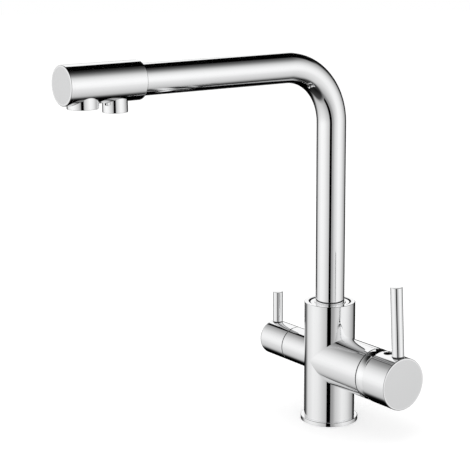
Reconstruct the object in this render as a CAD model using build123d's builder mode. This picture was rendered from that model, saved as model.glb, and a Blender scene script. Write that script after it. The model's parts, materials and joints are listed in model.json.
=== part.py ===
"""Three way filtered water tap: one column, a mixer on its right, a filter valve on its left.

The tap stands on z = 0 with its column on the Z axis. The spout points along -Y, the mixer
branch along +X and the filter branch along -X. All sizes are in millimetres.
"""

from build123d import *
from math import cos, radians, sin, tan
import os

os.makedirs("parts", exist_ok=True)

# --- Fits ---------------------------------------------------------------------------------
HAIR = 0.02  # between pieces that are screwed, pressed or laid together
RUNNING = 0.05  # between a turning piece and the bore that guides it
FREE = 0.3  # between moving faces that only pass each other
SAME = 0.01  # two places closer than this are one
GROOVE_SHARE = 1.3  # of an O-ring's groove width to the thickness of its wire

# --- Column and base ----------------------------------------------------------------------
BODY_RADIUS = 22.5
BODY_HEIGHT = 108.8
AXIS_HEIGHT = 57.0  # of both handle axes
FOOT_STEP = 1.5
FOOT_HEIGHT = 1.6
RIM_CHAMFER = 0.5
BASE_RING_STEP = 3.0  # of the ring beyond the column
BASE_RING_HEIGHT = 3.5
BASE_RING_CHAMFER = 0.5
BASE_SEAL_STEP = 1.3  # of the seal's bore beyond the foot
BASE_SEAL_WIDTH = 2.0
BASE_SEAL_HEIGHT = 1.0

# --- Connections in the underside ---------------------------------------------------------
INLET_RADIUS = 4.5  # tapping drill of an M10 x 1 hose end
INLET_DEPTH = 14.0
SUPPLY_X = 6.0  # hot and cold inlets
SUPPLY_Y = 8.6
FILTER_INLET_X = -11.0
STUD_RADIUS = 3.4  # tapping drill of an M8 stud
STUD_DEPTH = 16.0
STUD_X = -6.5
STUD_Y = 11.9
RISER_RADIUS = 2.8  # waterways drilled upwards
MIXED_RISER_RADIUS = 3.0
FILTER_CROSS_RADIUS = 2.4
OVERRUN = 0.7  # of a drilled waterway past the one it meets
MIXED_X = 9.0

# --- Spout --------------------------------------------------------------------------------
TUBE_RADIUS = 12.7
TUBE_WALL = 1.2
SPOUT_HEIGHT = 317.8  # of the axis of the level arm
SPOUT_REACH = 244.0  # of the main outlet, from the axis of the column
BEND_RADIUS = 50.2
BEND_ANGLE = 90.0
HEAD_RADIUS = 15.6
HEAD_BEHIND = 21.8  # of the head's rear edge, behind the filtered water outlet
HEAD_AHEAD = 14.8  # of the head's front edge, in front of the main outlet
HEAD_FILLET = 1.6
HEAD_SOCKET_DEPTH = 12.0
HEAD_WALL = 3.6
CAP_THICKNESS = 3.0
CAP_CHAMFER = 0.4
CAP_PLUG_LENGTH = 5.0

# --- Swivel joint in the top of the column ------------------------------------------------
SLEEVE_WALL = 2.25
SLEEVE_BORE = 10.0
SLEEVE_LIFT = 1.0  # above the floor of the swivel chamber
COLLAR_LIP = 3.35
COLLAR_GAP = 0.4
COLLAR_SINK = 0.2  # below the rim of the column
COLLAR_CHAMFER = 0.4
COUNTERBORE_DEPTH = 4.0
CHAMBER_DEPTH = 20.8
GLIDE_THICKNESS = 0.7
TUBE_GRIP = 7.5
SPOUT_O_RING_WIRE = 0.78  # radius of the wire
SPOUT_O_RING_RISES = (2.6, 11.0)  # above the foot of the sleeve
LOCK_RISE = 6.8
LOCK_SCREW_RADIUS = 2.5
LOCK_TIP_RADIUS = 1.5
LOCK_TIP_LENGTH = 1.6
LOCK_SCREW_LENGTH = 6.0
LOCK_GROOVE_DEPTH = 2.0

# --- Filtered water line inside the spout -------------------------------------------------
WATER_TUBE_RADIUS = 4.0
WATER_TUBE_BORE = 2.75
BARB_LENGTH = 8.0
BARB_WALL = 0.8
FERRULE_RADIUS = 4.9
FERRULE_SOCKET_DEPTH = 8.0
FERRULE_STAND = 6.0  # above the floor of the swivel chamber
FERRULE_BORE = 2.0
SMALL_O_RING_WIRE = 0.5  # radius of the wire
ELBOW_ARM_RADIUS = 4.6
ELBOW_ARM_LENGTH = 10.7
ELBOW_COLUMN_RADIUS = 6.0
ELBOW_HEAD_RISE = 6.0  # above the axis of the arm
ELBOW_SPIGOT_LENGTH = 6.0

# --- Outlets in the spout head ------------------------------------------------------------
OUTLET_SPACING = 28.3
MAIN_BOSS_DROP = 18.6  # of its lower edge, below the axis of the arm
MAIN_BORE_RADIUS = 11.0
MAIN_BOSS_WALL = 1.3
MAIN_BORE_DEPTH = 5.3
MAIN_THROAT_RADIUS = 8.5
FILTER_BOSS_DROP = 23.4
FILTER_BORE_RADIUS = 8.5
FILTER_BOSS_WALL = 1.4
FILTER_BORE_DEPTH = 6.6
FILTER_THROAT_RADIUS = 6.6
AERATOR_SINK = 0.3
AERATOR_WALL = 1.35
AERATOR_LIP = 0.9
WASHER_THICKNESS = 1.0
BASKET_RISE = 2.1  # of the main aerator's strainer, above its washer
JET_RADIUS = 0.6
JET_PITCH = 2.3
JET_ROWS = 5
KEY_SLOTS = 6

# --- Mixer branch and cartridge -----------------------------------------------------------
BRANCH_REACH = 61.3
BRANCH_CHAMFER = 0.3
PIVOT_AHEAD = 0.7  # of the lever's pivot, in front of the branch's end
CARTRIDGE_RADIUS = 17.4
CARTRIDGE_WALL = 2.2
NUT_LIP = 2.0  # of the retaining nut, beyond the cartridge
NUT_LENGTH = 4.5
NUT_COLLAR_RADIUS = 16.5
NUT_COLLAR_LENGTH = 3.7
NUT_SLOT_WIDTH = 3.0
NUT_SLOT_DEPTH = 1.5
GUIDE_RADIUS = 11.5
GUIDE_BEHIND = 9.7  # of the guide's inner end, behind the pivot
GUIDE_FRONT = 5.5
GUIDE_FLANGE_RADIUS = 14.5
GUIDE_FLANGE_LENGTH = 2.2
NECK_WALL = 1.95
NECK_FRONT = 6.0
CARRIER_RADIUS = 9.0
CARRIER_LENGTH = 12.5
MOVING_DISC_RADIUS = 9.3
MOVING_DISC_LENGTH = 3.5
FIXED_DISC_LENGTH = 4.0
CARTRIDGE_BASE_LENGTH = 4.0
SUPPLY_PORT_RADIUS = 1.8
SUPPLY_PORT_SIDE = 6.5
SUPPLY_PORT_RISE = 3.0
MIXED_PORT_RADIUS = 2.2
MIXED_PORT_DROP = 2.5
PORT_SEAL_WIDTH = 1.3
PORT_SEAL_LENGTH = 2.0
MIXING_POCKET = (6.6, 13.0)  # height and width
MIXING_POCKET_DROP = 2.8
MIXING_POCKET_DEPTH = 1.6

# --- Mixer lever and handle ---------------------------------------------------------------
LEVER_TILT = 25.0  # degrees, the whole travel of the lever
LEVER_ARM = 13.0  # from the pivot to the ball in the carrier
BALL_RADIUS = 3.2
BALL_TRAVEL = 0.9  # free depth behind the ball in its pocket
ARM_RADIUS = 2.0
STEM_SIDE = 8.0
STEM_BOSS_RADIUS = 4.6
PIN_RADIUS = 1.5
PIN_SINK = 1.0  # of the pin's ends, below the guide's surface
DOME_WALL = 1.8
DOME_FRONT = 9.8  # of the dome's edge, in front of the pivot
HUB_STEP = 0.15  # of the hub's radius beyond the dome's
HUB_CLEARANCE = 0.6
HUB_BEHIND = 9.0  # of the hub's rear edge, in front of the pivot
HUB_LENGTH = 26.3
HUB_CHAMFER = 0.45
HUB_BOSS_RADIUS = 7.5
HUB_BOSS_BEHIND = 11.5
STEM_GRIP = 10.8
SCREW_AHEAD = 4.7  # of the screw in the hub, in front of the boss's rear end
SCREW_RADIUS = 2.5
SCREW_LENGTH = 4.0
SCREW_ACCESS_RADIUS = 4.0
ROD_RADIUS = 5.2
ROD_LENGTH = 59.5
ROD_BEHIND = 7.2  # of the rod's foot, behind the hub's front end
ROD_LEAN = 3.5  # degrees, towards the column
ROD_SINK = 1.6
ROD_EDGE = 0.6
ROD_STUD_RADIUS = 3.0
ROD_STUD_LENGTH = 7.0

# --- Filter branch, valve and handle ------------------------------------------------------
FILTER_BRANCH_RADIUS = 15.9
FILTER_BRANCH_REACH = 48.7
FILTER_BORE = 10.0
FILTER_WATER_GAP = 1.0  # round the valve's sleeve
FILTER_MOUTH = 12.0
FILTER_THREAD_LENGTH = 4.5
FILTER_MOUTH_DEPTH = 10.7
FILTER_SEAL_LENGTH = 2.0
FILTER_DISC_LENGTH = 2.5
FILTER_VALVE_WALL = 1.4
FILTER_FLANGE_LENGTH = 4.0
FILTER_NECK_RADIUS = 7.5
FILTER_NECK_LENGTH = 10.0
FILTER_PORT_RADIUS = 1.8
FILTER_PORT_SIDE = 3.8
FILTER_WINDOW_RADIUS = 1.0
SPINDLE_RADIUS = 4.45
SPINDLE_FLANGE_LENGTH = 2.0
SPINDLE_END_RADIUS = 4.0
SPINDLE_GRIP = 9.0
FILTER_HUB_GAP = 0.3
FILTER_HUB_LENGTH = 34.5
FILTER_HUB_FILLET = 3.0
FILTER_HUB_CAVITY_RADIUS = 9.5
FILTER_HUB_CAVITY_DEPTH = 5.5
FILTER_SCREW_RADIUS = 2.0
FILTER_SCREW_LENGTH = 5.0
FILTER_SCREW_AHEAD = 5.5  # in front of the hub's cavity
FILTER_ROD_RADIUS = 4.6
FILTER_ROD_LENGTH = 28.5
FILTER_ROD_BEHIND = 7.8  # of the rod's foot, behind the hub's front end
FILTER_ROD_STUD_RADIUS = 2.5
HEX_SOCKET_SHARE = 0.5  # of a screw's radius
HEX_SOCKET_DEPTH = 2.0

# --- Axis lines: local z runs along each one, local x points up except on the column ------
COLUMN = Plane.XY
MIXER = Plane(origin=(0, 0, AXIS_HEIGHT), x_dir=(0, 0, 1), z_dir=(1, 0, 0))
FILTER = Plane(origin=(0, 0, AXIS_HEIGHT), x_dir=(0, 0, 1), z_dir=(-1, 0, 0))
SPOUT_ARM = Plane(origin=(0, 0, SPOUT_HEIGHT), x_dir=(0, 0, 1), z_dir=(0, -1, 0))
MAIN_OUTLET = Plane(origin=(0, -SPOUT_REACH, 0))
FILTER_OUTLET = Plane(origin=(0, -(SPOUT_REACH - OUTLET_SPACING), 0))
SPOUT_PLANE = Plane(origin=(0, 0, 0), x_dir=(0, 0, 1), z_dir=(1, 0, 0))

# --- Places that follow from the sizes ----------------------------------------------------
FOOT_RADIUS = BODY_RADIUS - FOOT_STEP
BASE_RING_RADIUS = BODY_RADIUS + BASE_RING_STEP
BASE_SEAL_INNER = FOOT_RADIUS + BASE_SEAL_STEP
SLEEVE_RADIUS = TUBE_RADIUS + SLEEVE_WALL
CHAMBER_RADIUS = SLEEVE_RADIUS + RUNNING
COLLAR_RADIUS = SLEEVE_RADIUS + COLLAR_LIP
COUNTERBORE_RADIUS = COLLAR_RADIUS + COLLAR_GAP
COUNTERBORE_FLOOR = BODY_HEIGHT - COUNTERBORE_DEPTH
CHAMBER_FLOOR = COUNTERBORE_FLOOR - CHAMBER_DEPTH
COLLAR_BOTTOM = COUNTERBORE_FLOOR + GLIDE_THICKNESS + RUNNING
COLLAR_TOP = BODY_HEIGHT - COLLAR_SINK
SLEEVE_BOTTOM = CHAMBER_FLOOR + SLEEVE_LIFT
TUBE_FOOT = COLLAR_BOTTOM - TUBE_GRIP
LOCK_HEIGHT = SLEEVE_BOTTOM + LOCK_RISE
FERRULE_FLOOR = CHAMBER_FLOOR - FERRULE_SOCKET_DEPTH
FERRULE_TOP = CHAMBER_FLOOR + FERRULE_STAND

FILTER_OUTLET_REACH = SPOUT_REACH - OUTLET_SPACING
HEAD_START = FILTER_OUTLET_REACH - HEAD_BEHIND
HEAD_END = SPOUT_REACH + HEAD_AHEAD
TUBE_END = HEAD_START + HEAD_SOCKET_DEPTH
HEAD_CAVITY_RADIUS = HEAD_RADIUS - HEAD_WALL
MAIN_BOSS_RADIUS = MAIN_BORE_RADIUS + MAIN_BOSS_WALL
FILTER_BOSS_RADIUS = FILTER_BORE_RADIUS + FILTER_BOSS_WALL
MAIN_BOSS_BOTTOM = SPOUT_HEIGHT - MAIN_BOSS_DROP
FILTER_BOSS_BOTTOM = SPOUT_HEIGHT - FILTER_BOSS_DROP
MAIN_SEAT = MAIN_BOSS_BOTTOM + MAIN_BORE_DEPTH
FILTER_SEAT = FILTER_BOSS_BOTTOM + FILTER_BORE_DEPTH
ELBOW_START = FILTER_OUTLET_REACH - ELBOW_ARM_LENGTH

PIVOT = BRANCH_REACH + PIVOT_AHEAD
GUIDE_START = PIVOT - GUIDE_BEHIND
CARRIER_END = GUIDE_START - FREE
CARRIER_START = CARRIER_END - CARRIER_LENGTH
BALL_PLACE = PIVOT - LEVER_ARM
POCKET_FLOOR = BALL_PLACE - BALL_RADIUS - BALL_TRAVEL
MOVING_DISC_START = CARRIER_START - MOVING_DISC_LENGTH
FIXED_DISC_START = MOVING_DISC_START - FIXED_DISC_LENGTH
CARTRIDGE_FLOOR = FIXED_DISC_START - CARTRIDGE_BASE_LENGTH
CASE_BORE = CARTRIDGE_RADIUS - CARTRIDGE_WALL
GUIDE_FLANGE_END = GUIDE_START + GUIDE_FLANGE_LENGTH
NUT_START = BRANCH_REACH - NUT_LENGTH
NUT_RADIUS = CARTRIDGE_RADIUS + NUT_LIP
NECK_BORE = GUIDE_RADIUS + RUNNING
NECK_RADIUS = NECK_BORE + NECK_WALL
PIN_HALF = GUIDE_RADIUS - PIN_SINK
DOME_RADIUS = BODY_RADIUS
HUB_RADIUS = DOME_RADIUS + HUB_STEP
HUB_START = PIVOT + HUB_BEHIND
HUB_END = HUB_START + HUB_LENGTH
HUB_BOSS_START = PIVOT + HUB_BOSS_BEHIND
STEM_END = HUB_BOSS_START + STEM_GRIP

FILTER_MOUTH_FLOOR = FILTER_BRANCH_REACH - FILTER_MOUTH_DEPTH
FILTER_THREAD_START = FILTER_MOUTH_FLOOR - FILTER_THREAD_LENGTH
SPINDLE_FLANGE_END = FILTER_THREAD_START - HAIR
SPINDLE_FLANGE_START = SPINDLE_FLANGE_END - SPINDLE_FLANGE_LENGTH
FILTER_MOVING_START = SPINDLE_FLANGE_START - FILTER_DISC_LENGTH
FILTER_FIXED_START = FILTER_MOVING_START - FILTER_DISC_LENGTH
FILTER_FLOOR = FILTER_FIXED_START - FILTER_SEAL_LENGTH
FILTER_SLEEVE_RADIUS = FILTER_BORE - FILTER_WATER_GAP
FILTER_CHAMBER = FILTER_SLEEVE_RADIUS - FILTER_VALVE_WALL
FILTER_NECK_START = FILTER_MOUTH_FLOOR + FILTER_FLANGE_LENGTH
FILTER_NECK_END = FILTER_NECK_START + FILTER_NECK_LENGTH
FILTER_HUB_START = FILTER_BRANCH_REACH + FILTER_HUB_GAP
FILTER_HUB_END = FILTER_HUB_START + FILTER_HUB_LENGTH
FILTER_HUB_FLOOR = FILTER_HUB_START + FILTER_HUB_CAVITY_DEPTH
SPINDLE_END = FILTER_HUB_FLOOR + SPINDLE_GRIP

# --- Axis lines that follow from the places -----------------------------------------------
TILT = Plane(origin=(PIVOT, 0, AXIS_HEIGHT), x_dir=(1, 0, 0), z_dir=(0, -1, 0))
LOCK_SCREW_LINE = Plane(origin=(0, 0, LOCK_HEIGHT), x_dir=(0, 0, 1), z_dir=(0, 1, 0))
HUB_SCREW_LINE = Plane(origin=(HUB_BOSS_START + SCREW_AHEAD, 0, AXIS_HEIGHT))
ROD_LINE = Plane(
    origin=(HUB_END - ROD_BEHIND, 0, AXIS_HEIGHT + HUB_RADIUS),
    x_dir=(cos(radians(ROD_LEAN)), 0, sin(radians(ROD_LEAN))),
    z_dir=(-sin(radians(ROD_LEAN)), 0, cos(radians(ROD_LEAN))),
)
FILTER_ROD_LINE = Plane(
    origin=(-(FILTER_HUB_END - FILTER_ROD_BEHIND), 0, AXIS_HEIGHT + FILTER_BRANCH_RADIUS)
)
FILTER_SCREW_LINE = Plane(
    origin=(-FILTER_HUB_FLOOR - FILTER_SCREW_AHEAD, 0, AXIS_HEIGHT), x_dir=(1, 0, 0), z_dir=(0, 0, -1)
)
SUPPLY_INLETS = [(SUPPLY_X, -SUPPLY_Y), (SUPPLY_X, SUPPLY_Y)]
SUPPLY_PORT_HEIGHT = AXIS_HEIGHT + SUPPLY_PORT_RISE


def station(line, reach, rise=0.0, side=0.0):
    """Return the plane square to an axis line at a distance along it, moved off the line if asked."""
    return Plane(
        origin=line.origin + line.z_dir * reach + line.x_dir * rise + line.y_dir * side,
        x_dir=line.x_dir,
        z_dir=line.z_dir,
    )


def section(line):
    """Return the plane that holds an axis line: local x runs along it, local y away from it."""
    return Plane(origin=line.origin, x_dir=line.z_dir, z_dir=line.y_dir)


def ring(line, start, end, outer, inner=0.0, mode=Mode.ADD):
    """Make a round bar, or a ring if it has an inner radius, between two distances along a line."""
    with BuildSketch(station(line, start)) as face:
        Circle(outer)
        if inner > 0:
            Circle(inner, mode=Mode.SUBTRACT)
    extrude(face.sketch, amount=end - start, mode=mode)


def ball(line, middle, radius, mode=Mode.ADD):
    """Make a ball centred on a line."""
    with BuildSketch(section(line)) as half_disc:
        with BuildLine():
            CenterArc((middle, 0), radius, 0, 180)
            Line((middle - radius, 0), (middle + radius, 0))
        make_face()
    revolve(half_disc.sketch, axis=Axis(line.origin, line.z_dir), mode=mode)


def drill(line, start, end, radius):
    """Cut a round hole between two distances along a line."""
    ring(line, start, end, radius, mode=Mode.SUBTRACT)


def groove_floor(bore, wire):
    """Return the radius of the groove's floor that seats an O-ring inside a bore."""
    return bore - 2 * wire - 2 * HAIR


def groove(line, middle, wire, floor, mouth):
    """Cut the groove of an O-ring into the outside of a shaft."""
    half_width = GROOVE_SHARE * wire
    ring(line, middle - half_width, middle + half_width, mouth + FREE, floor, mode=Mode.SUBTRACT)


def o_ring(line, middle, wire, floor):
    """Make an O-ring that lies on the floor of its groove."""
    with BuildSketch(section(line)) as wire_face:
        with Locations((middle, floor + wire + HAIR)):
            Circle(wire)
    revolve(wire_face.sketch, axis=Axis(line.origin, line.z_dir))


def outer_edges(part, line, reach, radius):
    """Pick the round edges of one radius that lie at one distance along a line."""
    plane = station(line, reach)
    return [
        edge
        for edge in part.edges().filter_by(GeomType.CIRCLE)
        if abs(plane.to_local_coords(edge.arc_center).Z) < SAME and abs(edge.radius - radius) < SAME
    ]


def cut_hex_socket(line, reach, radius):
    """Cut the hexagon socket into the end of a grub screw."""
    with BuildSketch(station(line, reach)) as face:
        RegularPolygon(HEX_SOCKET_SHARE * radius, 6)
    extrude(face.sketch, amount=-HEX_SOCKET_DEPTH, mode=Mode.SUBTRACT)


def spout_route(foot, end):
    """Return the centre line of the spout from a height on the column to a reach along the arm."""
    with BuildLine(SPOUT_PLANE) as route:
        rise = Line((foot, 0), (SPOUT_HEIGHT - BEND_RADIUS, 0))
        bend = JernArc(start=rise @ 1, tangent=rise % 1, radius=BEND_RADIUS, arc_size=BEND_ANGLE)
        Line(bend @ 1, (SPOUT_HEIGHT, end))
    return route.wires()[0]


def bent_tube(foot, end, outer, inner):
    """Make a tube that follows the spout's centre line."""
    route = spout_route(foot, end)
    with BuildSketch(station(COLUMN, foot)) as wall:
        Circle(outer)
        Circle(inner, mode=Mode.SUBTRACT)
    sweep(wall.sketch, path=route)


# --- Column and base ----------------------------------------------------------------------
with BuildPart() as body_casting:
    ring(COLUMN, 0, FOOT_HEIGHT, FOOT_RADIUS)
    ring(COLUMN, FOOT_HEIGHT, BODY_HEIGHT, BODY_RADIUS)
    ring(MIXER, 0, BRANCH_REACH, BODY_RADIUS)
    ring(FILTER, 0, FILTER_BRANCH_REACH, FILTER_BRANCH_RADIUS)
    chamfer(outer_edges(body_casting.part, COLUMN, BODY_HEIGHT, BODY_RADIUS), RIM_CHAMFER)
    chamfer(outer_edges(body_casting.part, MIXER, BRANCH_REACH, BODY_RADIUS), BRANCH_CHAMFER)
    filter_branch_end = outer_edges(body_casting.part, FILTER, FILTER_BRANCH_REACH, FILTER_BRANCH_RADIUS)
    chamfer(filter_branch_end, BRANCH_CHAMFER)
    # swivel chamber for the spout, and the socket of the filtered water line in its floor
    drill(COLUMN, COUNTERBORE_FLOOR, BODY_HEIGHT, COUNTERBORE_RADIUS)
    drill(COLUMN, CHAMBER_FLOOR, COUNTERBORE_FLOOR, CHAMBER_RADIUS)
    drill(COLUMN, FERRULE_FLOOR, CHAMBER_FLOOR, FERRULE_RADIUS + RUNNING)
    drill(LOCK_SCREW_LINE, 0, BODY_RADIUS, LOCK_SCREW_RADIUS + HAIR)
    # cartridge seat
    drill(MIXER, CARTRIDGE_FLOOR, BRANCH_REACH, CARTRIDGE_RADIUS + HAIR)
    drill(MIXER, NUT_START, BRANCH_REACH, NUT_RADIUS + HAIR)
    # filter valve seat
    drill(FILTER, FILTER_FLOOR, FILTER_BRANCH_REACH, FILTER_BORE)
    drill(FILTER, FILTER_MOUTH_FLOOR, FILTER_BRANCH_REACH, FILTER_MOUTH)
    # threaded holes of the hoses and the studs
    for x, y in SUPPLY_INLETS + [(FILTER_INLET_X, 0)]:
        drill(Plane(origin=(x, y, 0)), 0, INLET_DEPTH, INLET_RADIUS)
    for side in (-1, 1):
        drill(Plane(origin=(STUD_X, side * STUD_Y, 0)), 0, STUD_DEPTH, STUD_RADIUS)
    # hot and cold water, up and across to the cartridge's ports
    supply_riser_top = SUPPLY_PORT_HEIGHT + SUPPLY_PORT_RADIUS + OVERRUN
    for x, y in SUPPLY_INLETS:
        drill(Plane(origin=(x, y, 0)), 0, supply_riser_top, RISER_RADIUS)
    for side in (-1, 1):
        port_line = station(MIXER, 0, SUPPLY_PORT_RISE, side * SUPPLY_PORT_SIDE)
        drill(port_line, SUPPLY_X, CARTRIDGE_FLOOR, SUPPLY_PORT_RADIUS)
    # mixed water, back from the cartridge and up to the spout
    drill(station(MIXER, 0, -MIXED_PORT_DROP), MIXED_X, CARTRIDGE_FLOOR, MIXED_PORT_RADIUS)
    mixed_riser_foot = AXIS_HEIGHT - MIXED_PORT_DROP - MIXED_PORT_RADIUS - OVERRUN
    drill(Plane(origin=(MIXED_X, 0, 0)), mixed_riser_foot, CHAMBER_FLOOR, MIXED_RISER_RADIUS)
    # filtered water, up to its valve, then back over the valve and up to the spout
    filter_riser_top = AXIS_HEIGHT + FILTER_CROSS_RADIUS + OVERRUN
    drill(Plane(origin=(FILTER_INLET_X, 0, 0)), 0, filter_riser_top, RISER_RADIUS)
    drill(FILTER, -FILTER_INLET_X, FILTER_FLOOR, FILTER_CROSS_RADIUS)
    drill(station(FILTER, 0, FILTER_BORE), 0, FILTER_THREAD_START, FERRULE_BORE)
    return_foot = AXIS_HEIGHT + FILTER_BORE - FERRULE_BORE - OVERRUN
    drill(COLUMN, return_foot, FERRULE_FLOOR, RISER_RADIUS)

with BuildPart() as base_ring:
    ring(COLUMN, 0, BASE_RING_HEIGHT, BASE_RING_RADIUS, BODY_RADIUS + HAIR)
    chamfer(outer_edges(base_ring.part, COLUMN, BASE_RING_HEIGHT, BASE_RING_RADIUS), BASE_RING_CHAMFER)
    ring(COLUMN, 0, FOOT_HEIGHT, BODY_RADIUS + HAIR, FOOT_RADIUS + HAIR)
    base_seal_outer = BASE_SEAL_INNER + BASE_SEAL_WIDTH
    ring(COLUMN, 0, BASE_SEAL_HEIGHT, base_seal_outer, BASE_SEAL_INNER, mode=Mode.SUBTRACT)

with BuildPart() as base_seal:
    ring(COLUMN, 0, BASE_SEAL_HEIGHT - HAIR, base_seal_outer - HAIR, BASE_SEAL_INNER + HAIR)

with BuildPart() as spout_glide_ring:
    glide_top = COUNTERBORE_FLOOR + GLIDE_THICKNESS
    ring(COLUMN, COUNTERBORE_FLOOR, glide_top, COLLAR_RADIUS, CHAMBER_RADIUS + FREE)

with BuildPart() as spout_lock_screw:
    lock_tip = SLEEVE_RADIUS - LOCK_TIP_LENGTH
    lock_shoulder = SLEEVE_RADIUS + FREE
    ring(LOCK_SCREW_LINE, lock_tip, lock_shoulder, LOCK_TIP_RADIUS)
    ring(LOCK_SCREW_LINE, lock_shoulder, lock_shoulder + LOCK_SCREW_LENGTH, LOCK_SCREW_RADIUS)
    cut_hex_socket(LOCK_SCREW_LINE, lock_shoulder + LOCK_SCREW_LENGTH, LOCK_SCREW_RADIUS)

# --- Mixer cartridge, fixed in the branch -------------------------------------------------
PORTS = [
    (station(MIXER, 0, SUPPLY_PORT_RISE, -SUPPLY_PORT_SIDE), SUPPLY_PORT_RADIUS),
    (station(MIXER, 0, SUPPLY_PORT_RISE, SUPPLY_PORT_SIDE), SUPPLY_PORT_RADIUS),
    (station(MIXER, 0, -MIXED_PORT_DROP), MIXED_PORT_RADIUS),
]

with BuildPart() as mixer_cartridge_base:
    ring(MIXER, CARTRIDGE_FLOOR, FIXED_DISC_START, CARTRIDGE_RADIUS)
    for line, radius in PORTS:
        drill(line, CARTRIDGE_FLOOR, FIXED_DISC_START, radius)
        drill(line, CARTRIDGE_FLOOR, CARTRIDGE_FLOOR + PORT_SEAL_LENGTH, radius + PORT_SEAL_WIDTH)

with BuildPart() as mixer_cartridge_seals:
    for line, radius in PORTS:
        seal_end = CARTRIDGE_FLOOR + PORT_SEAL_LENGTH
        ring(line, CARTRIDGE_FLOOR, seal_end, radius + PORT_SEAL_WIDTH - HAIR, radius)

with BuildPart() as mixer_cartridge_case:
    ring(MIXER, FIXED_DISC_START, NUT_START, CARTRIDGE_RADIUS, CASE_BORE)
    ring(MIXER, GUIDE_FLANGE_END + RUNNING, NUT_START, CASE_BORE, NECK_BORE)
    ring(MIXER, NUT_START, PIVOT + NECK_FRONT, NECK_RADIUS, NECK_BORE)

with BuildPart() as mixer_fixed_disc:
    ring(MIXER, FIXED_DISC_START, MOVING_DISC_START, CASE_BORE - HAIR)
    for line, radius in PORTS:
        drill(line, FIXED_DISC_START, MOVING_DISC_START, radius)

with BuildPart() as mixer_retaining_nut:
    nut_front = BRANCH_REACH + NUT_COLLAR_LENGTH
    ring(MIXER, NUT_START, BRANCH_REACH, NUT_RADIUS, NECK_RADIUS + FREE)
    ring(MIXER, BRANCH_REACH, nut_front, NUT_COLLAR_RADIUS, NECK_RADIUS + FREE)
    with BuildSketch(station(MIXER, nut_front)) as nut_slots:
        Rectangle(2 * NUT_RADIUS, NUT_SLOT_WIDTH)
        Rectangle(NUT_SLOT_WIDTH, 2 * NUT_RADIUS)
    extrude(amount=-NUT_SLOT_DEPTH, mode=Mode.SUBTRACT)

with BuildPart() as mixer_trim_ring:
    # a flange that screws onto the nut's collar, then a domed shell round the lever's pivot
    dome_start = BRANCH_REACH - PIVOT
    dome_start_radius = (DOME_RADIUS**2 - dome_start**2) ** 0.5
    dome_end_radius = (DOME_RADIUS**2 - DOME_FRONT**2) ** 0.5
    dome_bore = DOME_RADIUS - DOME_WALL
    dome_bore_end_radius = (dome_bore**2 - DOME_FRONT**2) ** 0.5
    flange_end = dome_start + NUT_COLLAR_LENGTH
    flange_bore_radius = (dome_bore**2 - flange_end**2) ** 0.5
    with BuildSketch(section(station(MIXER, PIVOT))) as dome_profile:
        with BuildLine():
            Line((dome_start, NUT_COLLAR_RADIUS + HAIR), (dome_start, dome_start_radius))
            RadiusArc((dome_start, dome_start_radius), (DOME_FRONT, dome_end_radius), DOME_RADIUS)
            Line((DOME_FRONT, dome_end_radius), (DOME_FRONT, dome_bore_end_radius))
            RadiusArc((DOME_FRONT, dome_bore_end_radius), (flange_end, flange_bore_radius), -dome_bore)
            Line((flange_end, flange_bore_radius), (flange_end, NUT_COLLAR_RADIUS + HAIR))
            Line((flange_end, NUT_COLLAR_RADIUS + HAIR), (dome_start, NUT_COLLAR_RADIUS + HAIR))
        make_face()
    revolve(axis=Axis(MIXER.origin, MIXER.z_dir))

# --- Mixer cartridge, turning with the handle ---------------------------------------------
with BuildPart() as mixer_lever_guide:
    ring(MIXER, GUIDE_START, GUIDE_FLANGE_END, GUIDE_FLANGE_RADIUS)
    ring(MIXER, GUIDE_FLANGE_END, PIVOT + GUIDE_FRONT, GUIDE_RADIUS)
    # slot in which the lever tilts: square stem in front of the pivot, arm and ball behind it
    tilt_slope = tan(radians(LEVER_TILT))
    stem_half = STEM_SIDE / 2 + FREE
    stem_low = stem_half / cos(radians(LEVER_TILT))
    ball_half = BALL_RADIUS + 2 * FREE
    ball_high = ball_half / cos(radians(LEVER_TILT))
    slot_front = GUIDE_FRONT + FREE
    slot_back = GUIDE_BEHIND + FREE
    with BuildSketch(TILT):
        Circle(STEM_BOSS_RADIUS + FREE)
        with BuildLine():
            Polyline(
                (0, stem_half),
                (slot_front, stem_half),
                (slot_front, -stem_low - slot_front * tilt_slope),
                (0, -stem_low),
                close=True,
            )
        make_face()
        with BuildLine():
            Polyline(
                (0, -ball_half),
                (-slot_back, -ball_half),
                (-slot_back, ball_high + slot_back * tilt_slope),
                (0, ball_high),
                close=True,
            )
        make_face()
    extrude(amount=STEM_SIDE / 2 + FREE, both=True, mode=Mode.SUBTRACT)
    with BuildSketch(TILT):
        Circle(PIN_RADIUS + HAIR)
    extrude(amount=GUIDE_RADIUS + FREE, both=True, mode=Mode.SUBTRACT)

with BuildPart() as mixer_pivot_pin:
    with BuildSketch(TILT):
        Circle(PIN_RADIUS)
    extrude(amount=PIN_HALF, both=True)

# --- Mixer discs that slide with the lever ------------------------------------------------
with BuildPart() as mixer_disc_carrier:
    ring(MIXER, CARRIER_START, CARRIER_END, CARRIER_RADIUS)
    drill(MIXER, POCKET_FLOOR, CARRIER_END, BALL_RADIUS + FREE)

with BuildPart() as mixer_moving_disc:
    ring(MIXER, MOVING_DISC_START, CARRIER_START, MOVING_DISC_RADIUS)
    with BuildSketch(station(MIXER, MOVING_DISC_START, -MIXING_POCKET_DROP)):
        RectangleRounded(*MIXING_POCKET, SUPPLY_PORT_RADIUS)
    extrude(amount=MIXING_POCKET_DEPTH, mode=Mode.SUBTRACT)

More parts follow.
